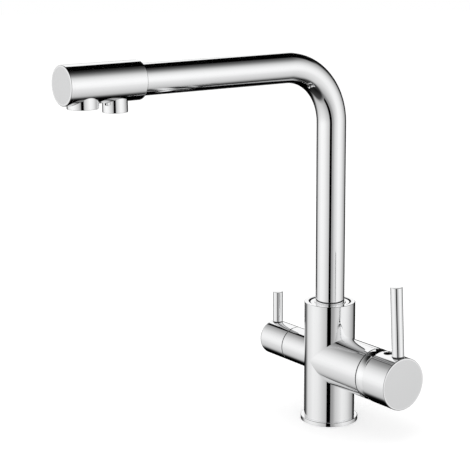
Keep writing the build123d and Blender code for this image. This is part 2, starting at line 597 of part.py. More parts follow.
# --- Mixer lever and handle ---------------------------------------------------------------
with BuildPart() as mixer_stem:
    ring(MIXER, BALL_PLACE, PIVOT, ARM_RADIUS)
    ball(MIXER, BALL_PLACE, BALL_RADIUS)
    with BuildSketch(station(MIXER, PIVOT)):
        Rectangle(STEM_SIDE, STEM_SIDE)
    extrude(amount=STEM_END - PIVOT)
    with BuildSketch(TILT):
        Circle(STEM_BOSS_RADIUS)
    extrude(amount=STEM_SIDE / 2, both=True)
    with BuildSketch(TILT):
        Circle(PIN_RADIUS + RUNNING)
    extrude(amount=STEM_SIDE, both=True, mode=Mode.SUBTRACT)

with BuildPart() as mixer_handle_hub:
    ring(MIXER, HUB_START, HUB_END, HUB_RADIUS)
    chamfer(outer_edges(mixer_handle_hub.part, MIXER, HUB_END, HUB_RADIUS), HUB_CHAMFER)
    chamfer(outer_edges(mixer_handle_hub.part, MIXER, HUB_START, HUB_RADIUS), BRANCH_CHAMFER)
    hub_cavity_radius = DOME_RADIUS + HUB_CLEARANCE
    ball(MIXER, PIVOT, hub_cavity_radius, mode=Mode.SUBTRACT)
    ring(MIXER, HUB_BOSS_START, PIVOT + hub_cavity_radius + HUB_CLEARANCE, HUB_BOSS_RADIUS)
    with BuildSketch(station(MIXER, HUB_BOSS_START)) as stem_socket:
        Rectangle(STEM_SIDE + 2 * HAIR, STEM_SIDE + 2 * HAIR)
    extrude(amount=STEM_GRIP + FREE, mode=Mode.SUBTRACT)
    drill(HUB_SCREW_LINE, 0, HUB_RADIUS, SCREW_RADIUS + HAIR)
    drill(HUB_SCREW_LINE, HUB_BOSS_RADIUS, HUB_RADIUS, SCREW_ACCESS_RADIUS)
    drill(ROD_LINE, -ROD_SINK, ROD_SINK, ROD_RADIUS + HAIR)
    drill(ROD_LINE, -ROD_SINK - ROD_STUD_LENGTH - FREE, 0, ROD_STUD_RADIUS + HAIR)


def lever_rod(line, radius, length, stud_radius, stud_length):
    """Make a handle's rod with its threaded stud; the line starts at the hub's crest."""
    with BuildPart() as rod:
        ring(line, -ROD_SINK, length, radius)
        fillet(outer_edges(rod.part, line, length, radius), ROD_EDGE)
        ring(line, -ROD_SINK - stud_length, -ROD_SINK, stud_radius)
    return rod


def grub_screw(line, tip, radius, length):
    """Make a grub screw that stands on what it clamps, with a hexagon socket in its far end."""
    with BuildPart() as screw:
        ring(line, tip, tip + length, radius)
        cut_hex_socket(line, tip + length, radius)
    return screw


mixer_lever_rod = lever_rod(ROD_LINE, ROD_RADIUS, ROD_LENGTH, ROD_STUD_RADIUS, ROD_STUD_LENGTH)
mixer_grub_screw = grub_screw(HUB_SCREW_LINE, STEM_SIDE / 2 + HAIR, SCREW_RADIUS, SCREW_LENGTH)

# --- Filter valve, fixed in the branch ----------------------------------------------------
with BuildPart() as filter_valve_seal:
    seal_bore = FILTER_PORT_SIDE + FILTER_PORT_RADIUS
    ring(FILTER, FILTER_FLOOR, FILTER_FIXED_START, FILTER_SLEEVE_RADIUS, seal_bore)

with BuildPart() as filter_valve_body:
    ring(FILTER, FILTER_FIXED_START, FILTER_THREAD_START, FILTER_SLEEVE_RADIUS, FILTER_CHAMBER)
    ring(FILTER, FILTER_THREAD_START, FILTER_MOUTH_FLOOR, FILTER_BORE - HAIR, SPINDLE_RADIUS + RUNNING)
    ring(FILTER, FILTER_MOUTH_FLOOR, FILTER_NECK_START, FILTER_MOUTH - HAIR, SPINDLE_RADIUS + RUNNING)
    ring(FILTER, FILTER_NECK_START, FILTER_NECK_END, FILTER_NECK_RADIUS, SPINDLE_RADIUS + RUNNING)
    window_reach = (SPINDLE_FLANGE_START + SPINDLE_FLANGE_END) / 2
    for window_side in (-1, 1):
        window_line = Plane(
            origin=(-window_reach, 0, AXIS_HEIGHT), x_dir=(1, 0, 0), z_dir=(0, window_side, 0)
        )
        drill(window_line, 0, FILTER_BORE, FILTER_WINDOW_RADIUS)

with BuildPart() as filter_fixed_disc:
    ring(FILTER, FILTER_FIXED_START, FILTER_MOVING_START, FILTER_CHAMBER - HAIR)
    for port_side in (-1, 1):
        port_line = station(FILTER, 0, 0, port_side * FILTER_PORT_SIDE)
        drill(port_line, FILTER_FIXED_START, FILTER_MOVING_START, FILTER_PORT_RADIUS)

# --- Filter valve and handle, turning -----------------------------------------------------
with BuildPart() as filter_moving_disc:
    ring(FILTER, FILTER_MOVING_START, SPINDLE_FLANGE_START, FILTER_CHAMBER - FREE)
    for port_rise in (-FILTER_PORT_SIDE, FILTER_PORT_SIDE):
        port_line = station(FILTER, 0, port_rise)
        drill(port_line, FILTER_MOVING_START, SPINDLE_FLANGE_START, FILTER_PORT_RADIUS)

spindle_groove_floor = groove_floor(SPINDLE_RADIUS + RUNNING, SMALL_O_RING_WIRE)
spindle_groove_reach = FILTER_NECK_START + FILTER_NECK_LENGTH / 2

with BuildPart() as filter_spindle:
    ring(FILTER, SPINDLE_FLANGE_START, SPINDLE_FLANGE_END, FILTER_CHAMBER - FREE)
    for port_rise in (-FILTER_PORT_SIDE, FILTER_PORT_SIDE):
        port_line = station(FILTER, 0, port_rise)
        drill(port_line, SPINDLE_FLANGE_START, SPINDLE_FLANGE_END, FILTER_PORT_RADIUS)
    ring(FILTER, SPINDLE_FLANGE_END, FILTER_NECK_END + FREE, SPINDLE_RADIUS)
    ring(FILTER, FILTER_NECK_END + FREE, SPINDLE_END, SPINDLE_END_RADIUS)
    groove(FILTER, spindle_groove_reach, SMALL_O_RING_WIRE, spindle_groove_floor, SPINDLE_RADIUS)

with BuildPart() as filter_spindle_o_ring:
    o_ring(FILTER, spindle_groove_reach, SMALL_O_RING_WIRE, spindle_groove_floor)

with BuildPart() as filter_handle_hub:
    ring(FILTER, FILTER_HUB_START, FILTER_HUB_END, FILTER_BRANCH_RADIUS)
    filter_hub = filter_handle_hub.part
    fillet(outer_edges(filter_hub, FILTER, FILTER_HUB_END, FILTER_BRANCH_RADIUS), FILTER_HUB_FILLET)
    filter_hub = filter_handle_hub.part
    chamfer(outer_edges(filter_hub, FILTER, FILTER_HUB_START, FILTER_BRANCH_RADIUS), BRANCH_CHAMFER)
    drill(FILTER, FILTER_HUB_START, FILTER_HUB_FLOOR, FILTER_HUB_CAVITY_RADIUS)
    drill(FILTER, FILTER_HUB_FLOOR, SPINDLE_END + FREE, SPINDLE_END_RADIUS + HAIR)
    drill(FILTER_SCREW_LINE, 0, FILTER_BRANCH_RADIUS, FILTER_SCREW_RADIUS + HAIR)
    drill(FILTER_ROD_LINE, -ROD_SINK, ROD_SINK, FILTER_ROD_RADIUS + HAIR)
    drill(FILTER_ROD_LINE, -ROD_SINK - ROD_STUD_LENGTH - FREE, 0, FILTER_ROD_STUD_RADIUS + HAIR)

filter_lever_rod = lever_rod(
    FILTER_ROD_LINE, FILTER_ROD_RADIUS, FILTER_ROD_LENGTH, FILTER_ROD_STUD_RADIUS, ROD_STUD_LENGTH
)
filter_grub_screw = grub_screw(
    FILTER_SCREW_LINE, SPINDLE_END_RADIUS + HAIR, FILTER_SCREW_RADIUS, FILTER_SCREW_LENGTH
)

# --- Spout: tube and swivel ---------------------------------------------------------------
spout_groove_floor = groove_floor(CHAMBER_RADIUS, SPOUT_O_RING_WIRE)

with BuildPart() as spout_tube:
    bent_tube(TUBE_FOOT, TUBE_END, TUBE_RADIUS, TUBE_RADIUS - TUBE_WALL)

with BuildPart() as spout_collar:
    ring(COLUMN, COLLAR_BOTTOM, COLLAR_TOP, COLLAR_RADIUS, TUBE_RADIUS + HAIR)
    chamfer(outer_edges(spout_collar.part, COLUMN, COLLAR_TOP, COLLAR_RADIUS), COLLAR_CHAMFER)

with BuildPart() as spout_base_sleeve:
    ring(COLUMN, SLEEVE_BOTTOM, TUBE_FOOT, SLEEVE_RADIUS, SLEEVE_BORE)
    ring(COLUMN, TUBE_FOOT, COLLAR_BOTTOM, SLEEVE_RADIUS, TUBE_RADIUS + HAIR)
    for rise in SPOUT_O_RING_RISES:
        groove(COLUMN, SLEEVE_BOTTOM + rise, SPOUT_O_RING_WIRE, spout_groove_floor, SLEEVE_RADIUS)
    lock_half = LOCK_TIP_RADIUS + FREE
    lock_groove_floor = SLEEVE_RADIUS - LOCK_GROOVE_DEPTH
    ring(
        COLUMN,
        LOCK_HEIGHT - lock_half,
        LOCK_HEIGHT + lock_half,
        SLEEVE_RADIUS + FREE,
        lock_groove_floor,
        mode=Mode.SUBTRACT,
    )

with BuildPart() as spout_o_rings:
    for rise in SPOUT_O_RING_RISES:
        o_ring(COLUMN, SLEEVE_BOTTOM + rise, SPOUT_O_RING_WIRE, spout_groove_floor)

# --- Spout: head --------------------------------------------------------------------------
cap_plug_start = HEAD_END - CAP_PLUG_LENGTH
cap_plug_radius = HEAD_CAVITY_RADIUS - HAIR
cap_groove_floor = groove_floor(HEAD_CAVITY_RADIUS, SMALL_O_RING_WIRE)
cap_groove_reach = HEAD_END - CAP_PLUG_LENGTH / 2

with BuildPart() as spout_head:
    ring(SPOUT_ARM, HEAD_START, HEAD_END, HEAD_RADIUS)
    fillet(outer_edges(spout_head.part, SPOUT_ARM, HEAD_START, HEAD_RADIUS), HEAD_FILLET)
    ring(MAIN_OUTLET, MAIN_BOSS_BOTTOM, SPOUT_HEIGHT, MAIN_BOSS_RADIUS)
    ring(FILTER_OUTLET, FILTER_BOSS_BOTTOM, SPOUT_HEIGHT, FILTER_BOSS_RADIUS)
    drill(SPOUT_ARM, HEAD_START, TUBE_END, TUBE_RADIUS + HAIR)
    drill(SPOUT_ARM, TUBE_END, HEAD_END, HEAD_CAVITY_RADIUS)
    drill(MAIN_OUTLET, MAIN_BOSS_BOTTOM, MAIN_SEAT, MAIN_BORE_RADIUS)
    drill(MAIN_OUTLET, MAIN_SEAT, SPOUT_HEIGHT, MAIN_THROAT_RADIUS)
    drill(FILTER_OUTLET, FILTER_BOSS_BOTTOM, FILTER_SEAT, FILTER_BORE_RADIUS)
    drill(FILTER_OUTLET, FILTER_SEAT, SPOUT_HEIGHT, FILTER_THROAT_RADIUS)

with BuildPart() as spout_end_cap:
    ring(SPOUT_ARM, HEAD_END, HEAD_END + CAP_THICKNESS, HEAD_RADIUS)
    chamfer(outer_edges(spout_end_cap.part, SPOUT_ARM, HEAD_END + CAP_THICKNESS, HEAD_RADIUS), CAP_CHAMFER)
    ring(SPOUT_ARM, cap_plug_start, HEAD_END, cap_plug_radius)
    groove(SPOUT_ARM, cap_groove_reach, SMALL_O_RING_WIRE, cap_groove_floor, cap_plug_radius)

with BuildPart() as spout_cap_o_ring:
    o_ring(SPOUT_ARM, cap_groove_reach, SMALL_O_RING_WIRE, cap_groove_floor)

# --- Spout: filtered water line -----------------------------------------------------------
barb_radius = WATER_TUBE_BORE - HAIR
barb_bore = barb_radius - BARB_WALL
ferrule_groove_floor = groove_floor(FERRULE_RADIUS + RUNNING, SMALL_O_RING_WIRE)
ferrule_groove_height = CHAMBER_FLOOR - FERRULE_SOCKET_DEPTH / 2
elbow_barb_start = ELBOW_START - BARB_LENGTH
spigot_radius = FILTER_THROAT_RADIUS - HAIR
spigot_groove_floor = groove_floor(FILTER_THROAT_RADIUS, SMALL_O_RING_WIRE)
spigot_groove_height = FILTER_SEAT + ELBOW_SPIGOT_LENGTH / 3

with BuildPart() as filter_water_tube:
    bent_tube(FERRULE_TOP, ELBOW_START, WATER_TUBE_RADIUS, WATER_TUBE_BORE)

with BuildPart() as filter_tube_ferrule:
    ring(COLUMN, FERRULE_FLOOR + FREE, FERRULE_TOP, FERRULE_RADIUS, FERRULE_BORE)
    ring(COLUMN, FERRULE_TOP, FERRULE_TOP + BARB_LENGTH, barb_radius, barb_bore)
    groove(COLUMN, ferrule_groove_height, SMALL_O_RING_WIRE, ferrule_groove_floor, FERRULE_RADIUS)

with BuildPart() as filter_tube_o_ring:
    o_ring(COLUMN, ferrule_groove_height, SMALL_O_RING_WIRE, ferrule_groove_floor)

with BuildPart() as filter_outlet_elbow:
    spigot_top = FILTER_SEAT + ELBOW_SPIGOT_LENGTH
    ring(FILTER_OUTLET, FILTER_SEAT, spigot_top, spigot_radius)
    ring(FILTER_OUTLET, spigot_top, SPOUT_HEIGHT + ELBOW_HEAD_RISE, ELBOW_COLUMN_RADIUS)
    ring(SPOUT_ARM, ELBOW_START, FILTER_OUTLET_REACH, ELBOW_ARM_RADIUS)
    ring(SPOUT_ARM, elbow_barb_start, ELBOW_START, barb_radius)
    drill(SPOUT_ARM, elbow_barb_start, FILTER_OUTLET_REACH, barb_bore)
    drill(FILTER_OUTLET, FILTER_SEAT, SPOUT_HEIGHT + barb_bore, FERRULE_BORE)
    groove(FILTER_OUTLET, spigot_groove_height, SMALL_O_RING_WIRE, spigot_groove_floor, spigot_radius)

with BuildPart() as filter_elbow_o_ring:
    o_ring(FILTER_OUTLET, spigot_groove_height, SMALL_O_RING_WIRE, spigot_groove_floor)


# --- Spout: aerators ----------------------------------------------------------------------
def aerator(line, boss_bottom, seat, bore, throat, basket_rise):
    """Make the threaded housing, the jet insert and the washer of one outlet."""
    housing_radius = bore - HAIR
    cup_radius = housing_radius - AERATOR_WALL
    bottom = boss_bottom + AERATOR_SINK
    top = seat - WASHER_THICKNESS
    with BuildPart() as housing:
        ring(line, bottom, top, housing_radius, cup_radius)
        ring(line, bottom, bottom + AERATOR_LIP, cup_radius, cup_radius - AERATOR_LIP)
        with BuildSketch(station(line, bottom)) as key_slots:
            with PolarLocations(housing_radius, KEY_SLOTS):
                Rectangle(2 * AERATOR_WALL, 2 * AERATOR_WALL)
        extrude(key_slots.sketch, amount=AERATOR_LIP, mode=Mode.SUBTRACT)
    with BuildPart() as insert:
        ring(line, bottom + AERATOR_LIP, top, cup_radius - HAIR)
        ring(line, top, seat + basket_rise, throat - AERATOR_WALL)
        with BuildSketch(station(line, bottom + AERATOR_LIP)) as jets:
            with HexLocations(JET_PITCH / 2, JET_ROWS, JET_ROWS, major_radius=False):
                Circle(JET_RADIUS)
        extrude(jets.sketch, amount=seat + basket_rise - bottom, mode=Mode.SUBTRACT)
    with BuildPart() as washer:
        ring(line, top, seat, housing_radius, throat - HAIR)
    return housing, insert, washer


main_aerator_housing, main_aerator_insert, main_aerator_washer = aerator(
    MAIN_OUTLET, MAIN_BOSS_BOTTOM, MAIN_SEAT, MAIN_BORE_RADIUS, MAIN_THROAT_RADIUS, BASKET_RISE
)
filter_aerator_housing, filter_aerator_insert, filter_aerator_washer = aerator(
    FILTER_OUTLET, FILTER_BOSS_BOTTOM, FILTER_SEAT, FILTER_BORE_RADIUS, FILTER_THROAT_RADIUS, -HAIR
)

# --- Labels and files ---------------------------------------------------------------------
PIECES = {
    "body_casting": body_casting,
    "base_ring": base_ring,
    "base_seal": base_seal,
    "spout_glide_ring": spout_glide_ring,
    "spout_lock_screw": spout_lock_screw,
    "mixer_cartridge_base": mixer_cartridge_base,
    "mixer_cartridge_seals": mixer_cartridge_seals,
    "mixer_cartridge_case": mixer_cartridge_case,
    "mixer_fixed_disc": mixer_fixed_disc,
    "mixer_retaining_nut": mixer_retaining_nut,
    "mixer_trim_ring": mixer_trim_ring,
    "mixer_lever_guide": mixer_lever_guide,
    "mixer_pivot_pin": mixer_pivot_pin,
    "mixer_disc_carrier": mixer_disc_carrier,
    "mixer_moving_disc": mixer_moving_disc,
    "mixer_stem": mixer_stem,
    "mixer_handle_hub": mixer_handle_hub,
    "mixer_lever_rod": mixer_lever_rod,
    "mixer_grub_screw": mixer_grub_screw,
    "filter_valve_seal": filter_valve_seal,
    "filter_valve_body": filter_valve_body,
    "filter_fixed_disc": filter_fixed_disc,
    "filter_moving_disc": filter_moving_disc,
    "filter_spindle": filter_spindle,
    "filter_spindle_o_ring": filter_spindle_o_ring,
    "filter_handle_hub": filter_handle_hub,
    "filter_lever_rod": filter_lever_rod,
    "filter_grub_screw": filter_grub_screw,
    "spout_tube": spout_tube,
    "spout_collar": spout_collar,
    "spout_base_sleeve": spout_base_sleeve,
    "spout_o_rings": spout_o_rings,
    "spout_head": spout_head,
    "spout_end_cap": spout_end_cap,
    "spout_cap_o_ring": spout_cap_o_ring,
    "filter_water_tube": filter_water_tube,
    "filter_tube_ferrule": filter_tube_ferrule,
    "filter_tube_o_ring": filter_tube_o_ring,
    "filter_outlet_elbow": filter_outlet_elbow,
    "filter_elbow_o_ring": filter_elbow_o_ring,
    "main_aerator_housing": main_aerator_housing,
    "main_aerator_insert": main_aerator_insert,
    "main_aerator_washer": main_aerator_washer,
    "filter_aerator_housing": filter_aerator_housing,
    "filter_aerator_insert": filter_aerator_insert,
    "filter_aerator_washer": filter_aerator_washer,
}

for name, piece in PIECES.items():
    piece.part.label = name
    export_step(piece.part, f"parts/{name}.step")
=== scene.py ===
"""Three way filtered water tap in polished chrome: its studio, its finishes and its pieces.

The tap stands on z = 0 with its column on the Z axis. The spout points along -Y, the mixer
branch along +X and the filter branch along -X. Sizes in the fields are millimetres, and the
meshes are in metres.
"""

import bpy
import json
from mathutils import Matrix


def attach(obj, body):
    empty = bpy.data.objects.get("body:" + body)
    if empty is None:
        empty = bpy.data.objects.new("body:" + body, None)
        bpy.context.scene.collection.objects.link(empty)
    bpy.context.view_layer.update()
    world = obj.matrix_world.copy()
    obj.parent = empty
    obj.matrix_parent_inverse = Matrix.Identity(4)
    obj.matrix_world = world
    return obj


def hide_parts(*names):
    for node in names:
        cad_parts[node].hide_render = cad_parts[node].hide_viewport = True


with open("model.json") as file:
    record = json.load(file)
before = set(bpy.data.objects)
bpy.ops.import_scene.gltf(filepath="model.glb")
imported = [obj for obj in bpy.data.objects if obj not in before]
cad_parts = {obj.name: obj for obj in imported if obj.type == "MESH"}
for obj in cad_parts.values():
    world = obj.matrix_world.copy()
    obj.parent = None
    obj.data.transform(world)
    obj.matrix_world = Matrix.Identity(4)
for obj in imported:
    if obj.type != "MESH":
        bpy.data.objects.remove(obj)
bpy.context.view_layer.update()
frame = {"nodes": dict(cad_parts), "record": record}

import json
import logging
import math
from contextlib import contextmanager
from dataclasses import dataclass, field
from enum import Enum
from typing import Any, Iterator, NamedTuple, Optional, Sequence, Union

import bmesh
import bpy
import numpy as np
from mathutils import Matrix, Vector
from mathutils.geometry import delaunay_2d_cdt

MM = 0.001
FULL_TURN = 2.0 * math.pi
RIGHT_ANGLE = 0.5 * math.pi
MERGE = 2e-6  # metres: points closer than this are one
ARC_STEP = math.radians(9.0)  # of a rounded edge
BALL_STEP = math.radians(3.0)
SAME_WAY = 0.9999  # unit slopes whose product is above this are one
BRANCH_HEIGHT = 57.0
SPOUT_HEIGHT = 317.8
FIT = 0.02  # between a piece and its seat
HAIR = 0.01  # to catch the faces on a patch's edge
SPARE = 0.2  # by which a helper corner or a patch reaches past an edge
LOG = logging.getLogger("tap")


class Body(Enum):
    """The bodies of the frame that the pieces ride on."""

    TAP = "tap_body"
    MIXER_HANDLE = "mixer_handle"
    FILTER_HANDLE = "filter_handle"
    SPOUT = "spout"


class Slot(Enum):
    """The record's material slots."""

    CHROME = "chrome"
    BRASS = "brass"
    STEEL = "steel"
    RUBBER = "rubber"
    PLASTIC = "plastic"
    CLEAR = "clear_plastic"
    CERAMIC = "ceramic_grey"


# --- Shader graphs ------------------------------------------------------------------------
Number = Union[float, "Value"]
Triple = tuple[float, float, float]


class Value:
    """A number socket that takes part in Python sums, each of which adds a Math node."""

    def __init__(self, graph: "Graph", socket: bpy.types.NodeSocket) -> None:
        """Keeps the graph that the socket belongs to."""
        self.graph = graph
        self.socket = socket

    def _math(self, operation: str, *terms: Number) -> "Value":
        """Returns the result of a Math node with this operation and these inputs."""
        inputs = dict(enumerate(terms))
        return self.graph.value("ShaderNodeMath", {"operation": operation}, inputs)

    def __add__(self, other: Number) -> "Value":
        """Returns self + other."""
        return self._math("ADD", self, other)

    __radd__ = __add__

    def __sub__(self, other: Number) -> "Value":
        """Returns self - other."""
        return self._math("SUBTRACT", self, other)

    def __rsub__(self, other: Number) -> "Value":
        """Returns other - self."""
        return self._math("SUBTRACT", other, self)

    def __mul__(self, other: Number) -> "Value":
        """Returns self * other."""
        return self._math("MULTIPLY", self, other)

    __rmul__ = __mul__

    def __pow__(self, other: Number) -> "Value":
        """Returns self ** other."""
        return self._math("POWER", self, other)

    def __abs__(self) -> "Value":
        """Returns the size of self."""
        return self._math("ABSOLUTE", self)

    def most(self, other: Number) -> "Value":
        """Returns the larger of self and other."""
        return self._math("MAXIMUM", self, other)

    def heading(self, east: "Value") -> "Value":
        """Returns the angle, in radians, whose sine goes with self and its cosine with east."""
        return self._math("ARCTAN2", self, east)

    def rise(self) -> "Value":
        """Returns the angle, in radians, whose sine is self."""
        return self._math("ARCSINE", self)

    def wrapped(self, low: float, high: float) -> "Value":
        """Returns self brought between low and high by whole turns."""
        return self._math("WRAP", self, high, low)

    def fade(self, near: float, far: float) -> "Value":
        """Returns 1 where self is below near and 0 above far, with a smooth step between.

        Args:
            near: where the fall begins.
            far: where it ends.

        Returns:
            The mask.
        """
        settings = {"interpolation_type": "SMOOTHSTEP"}
        inputs = {"Value": self, "From Min": near, "From Max": far, "To Min": 1.0, "To Max": 0.0}
        return self.graph.value("ShaderNodeMapRange", settings, inputs)


class Graph:
    """Adds nodes to one node tree."""

    def __init__(self, tree: bpy.types.NodeTree) -> None:
        """Empties the tree."""
        self.tree = tree
        tree.nodes.clear()

    def node(
        self,
        kind: str,
        settings: Optional[dict[str, Any]] = None,
        inputs: Optional[dict[Any, Any]] = None,
    ) -> bpy.types.Node:
        """Adds a node, sets its settings, then its sockets.

        Args:
            kind: the node's type.
            settings: its own settings; "stops" are a ramp's places and colours.
            inputs: values, Values or output sockets, by the input's name or number.

        Returns:
            The node.
        """
        node = self.tree.nodes.new(kind)
        for name, setting in (settings or {}).items():
            if name == "stops":
                self._set_stops(node.color_ramp, setting)
            else:
                setattr(node, name, setting)
        for name, wanted in (inputs or {}).items():
            socket = node.inputs[name]
            wanted = wanted.socket if isinstance(wanted, Value) else wanted
            if isinstance(wanted, bpy.types.NodeSocket):
                self.tree.links.new(wanted, socket)
            else:
                socket.default_value = wanted
        return node

    @staticmethod
    def _set_stops(ramp: bpy.types.ColorRamp, stops: Sequence[tuple[float, Any]]) -> None:
        """Sets a ramp's stops.

        Args:
            ramp: the colour ramp.
            stops: place and grey level, or place and colour, in rising order.
        """
        while len(ramp.elements) < len(stops):
            ramp.elements.new(0.5)
        for element, (place, level) in zip(ramp.elements, stops):
            element.position = place
            element.color = (level,) * 3 + (1.0,) if isinstance(level, float) else level

    def value(
        self,
        kind: str,
        settings: Optional[dict[str, Any]] = None,
        inputs: Optional[dict[Any, Any]] = None,
        output: Union[int, str] = 0,
    ) -> Value:
        """Adds a node and returns one of its outputs, by name or number, as a Value."""
        return Value(self, self.node(kind, settings, inputs).outputs[output])

    def noise(self, place: Value, scale: float, detail: float = 2.0) -> Value:
        """Returns a noise pattern from 0 to 1, whose scale is in grains per metre."""
        inputs = {"Vector": place, "Scale": scale, "Detail": detail}
        return self.value("ShaderNodeTexNoise", {}, inputs, "Fac")

    def blend(self, factor: Number, first: Triple, second: Triple) -> Value:
        """Mixes two colours.

        Args:
            factor: 0 gives the first and 1 the second.
            first: a colour.
            second: a colour.

        Returns:
            The mixed colour.
        """
        settings = {"data_type": "RGBA"}
        inputs = {0: factor, 6: (*first, 1.0), 7: (*second, 1.0)}
        return self.value("ShaderNodeMix", settings, inputs, 2)

    def glow(self, strength: Number) -> bpy.types.Node:
        """Adds white light of a strength."""
        return self.node("ShaderNodeEmission", {}, {"Strength": strength})

    def mix(self, factor: Any, first: bpy.types.Node, second: bpy.types.Node) -> bpy.types.Node:
        """Adds a Mix Shader, in which a factor of 0 gives the first shader and 1 the second."""
        inputs = {0: factor, 1: first.outputs[0], 2: second.outputs[0]}
        return self.node("ShaderNodeMixShader", {}, inputs)

    def show(self, shader: bpy.types.Node, output: str = "Material") -> None:
        """Links a shader to the tree's output."""
        self.node("ShaderNodeOutput" + output, {}, {"Surface": shader.outputs[0]})


def new_material(name: str) -> tuple[bpy.types.Material, Graph]:
    """Makes a material with an emptied graph.

    Args:
        name: the material's name.

    Returns:
        The material and its graph.
    """
    made = bpy.data.materials.new(name)
    made.use_nodes = True
    return made, Graph(made.node_tree)


# --- Finishes -----------------------------------------------------------------------------
@dataclass(frozen=True)
class Finish:
    """A finish: two near colours that mottle into each other, a gloss and a surface grain.

    A ripple depth adds the long waves of a polished casting, which bend its reflections.
    """

    name: str
    colour: Triple
    second_colour: Triple
    roughness: float
    grain_scale: float
    grain_depth: float
    roughness_spread: float = 0.1
    mottle_scale: float = 60.0
    metallic: float = 0.0
    coat: float = 0.0
    transmission: float = 0.0
    ripple_scale: float = 42.0
    ripple_depth: float = 0.0

    def material(self) -> bpy.types.Material:
        """Makes the finish's material the first time that it is asked for.

        Returns:
            The material.
        """
        made = bpy.data.materials.get(self.name)
        if made is None:
            made, graph = new_material(self.name)
            self._dress(graph)
        return made

    def _dress(self, graph: Graph) -> None:
        """Builds the nodes.

        Args:
            graph: the material's graph.
        """
        place = graph.value("ShaderNodeTexCoord", output="Object")
        mottle = graph.noise(place, self.mottle_scale, 4.0)
        height, distance = graph.noise(place, self.grain_scale), self.grain_depth
        if self.ripple_depth > 0:
            ripple = graph.noise(place, self.ripple_scale, 1.0)
            height, distance = ripple * self.ripple_depth + height * self.grain_depth, 1.0
        bump = {"Strength": 1.0, "Distance": distance, "Height": height}
        inputs = {
            "Base Color": graph.blend(mottle, self.colour, self.second_colour),
            "Metallic": self.metallic,
            "Roughness": self.roughness + (mottle - 0.5) * self.roughness_spread,
            "Normal": graph.value("ShaderNodeBump", {}, bump),
            "Coat Weight": self.coat,
            "Transmission Weight": self.transmission,
        }
        graph.show(graph.node("ShaderNodeBsdfPrincipled", {}, inputs))


POLISHED_CHROME = Finish(
    "polished_chrome",
    colour=(0.945, 0.948, 0.952),
    second_colour=(0.925, 0.928, 0.933),
    metallic=1.0,
    roughness=0.045,
    roughness_spread=0.03,
    mottle_scale=90.0,
    grain_scale=1600.0,
    grain_depth=4e-8,
    ripple_depth=3.5e-6,
)
FACED_CHROME = Finish(
    "faced_chrome",
    colour=(0.82, 0.822, 0.826),
    second_colour=(0.795, 0.798, 0.802),
    metallic=1.0,
    roughness=0.2,
    roughness_spread=0.05,
    mottle_scale=45.0,
    grain_scale=2400.0,
    grain_depth=2e-7,
)
# Painted shade: a near black matte finish laid on the faces inside joints, gaps and grooves
# between chrome pieces, where shade falls
JOINT_SHADOW = Finish(
    "joint_shadow",
    colour=(0.03, 0.03, 0.032),
    second_colour=(0.05, 0.05, 0.052),
    roughness=0.7,
    mottle_scale=500.0,
    grain_scale=3000.0,
    grain_depth=4e-6,
)
FINISHES: dict[Slot, Finish] = {
    Slot.CHROME: POLISHED_CHROME,
    Slot.BRASS: Finish(
        "turned_brass",
        colour=(0.72, 0.52, 0.22),
        second_colour=(0.62, 0.43, 0.17),
        metallic=1.0,
        roughness=0.28,
        roughness_spread=0.14,
        mottle_scale=220.0,
        grain_scale=2600.0,
        grain_depth=2e-6,
    ),
    Slot.STEEL: Finish(
        "screw_steel",
        colour=(0.46, 0.46, 0.47),
        second_colour=(0.36, 0.36, 0.37),
        metallic=1.0,
        roughness=0.34,
        roughness_spread=0.12,
        mottle_scale=500.0,
        grain_scale=3000.0,
        grain_depth=3e-6,
    ),
    Slot.RUBBER: Finish(
        "black_rubber",
        colour=(0.022, 0.022, 0.023),
        second_colour=(0.04, 0.04, 0.041),
        roughness=0.62,
        roughness_spread=0.16,
        mottle_scale=300.0,
        grain_scale=4000.0,
        grain_depth=6e-6,
    ),
    Slot.PLASTIC: Finish(
        "white_plastic",
        colour=(0.80, 0.80, 0.78),
        second_colour=(0.74, 0.74, 0.72),
        roughness=0.36,
        roughness_spread=0.12,
        mottle_scale=140.0,
        grain_scale=3500.0,
        grain_depth=4e-6,
    ),
    Slot.CLEAR: Finish(
        "clear_plastic",
        colour=(0.86, 0.89, 0.92),
        second_colour=(0.80, 0.84, 0.88),
        roughness=0.18,
        roughness_spread=0.08,
        grain_scale=1500.0,
        grain_depth=2e-6,
        transmission=0.85,
    ),
    Slot.CERAMIC: Finish(
        "grey_ceramic",
        colour=(0.34, 0.34, 0.35),
        second_colour=(0.27, 0.27, 0.28),
        roughness=0.16,
        roughness_spread=0.08,
        mottle_scale=400.0,
        grain_scale=5000.0,
        grain_depth=1e-6,
        coat=0.3,
    ),
}


# --- Lines and profiles -------------------------------------------------------------------
X, Y, Z = np.eye(3)
Places = Union[float, np.ndarray]
Pair = tuple[np.ndarray, np.ndarray]


@dataclass(frozen=True)
class AxisLine:
    """An axis in space: along runs with it, and turns are counted from up towards side."""

    origin: np.ndarray
    along: np.ndarray
    up: np.ndarray

    @property
    def side(self) -> np.ndarray:
        """Returns the direction of a quarter turn."""
        return np.cross(self.along, self.up)

    def radial(self, turns: np.ndarray) -> np.ndarray:
        """Returns the outward direction at each turn, in radians."""
        turns = turns[..., None]
        return np.cos(turns) * self.up + np.sin(turns) * self.side

    def at(self, along: Places, radius: Places, turns: np.ndarray) -> np.ndarray:
        """Places points round the axis.

        Args:
            along: distances along the axis.
            radius: distances from it.
            turns: angles round it, in radians.

        Returns:
            The points, in the broadcast shape of the three, with x, y and z last.
        """
        along = np.asarray(along, float)[..., None]
        radius = np.asarray(radius, float)[..., None]
        return self.origin + along * self.along + radius * self.radial(turns)

    def read(self, points: np.ndarray) -> tuple[np.ndarray, np.ndarray]:
        """Returns the distances of points along the axis, and their turns in radians."""
        off = points - self.origin
        return off @ self.along, np.arctan2(off @ self.side, off @ self.up)


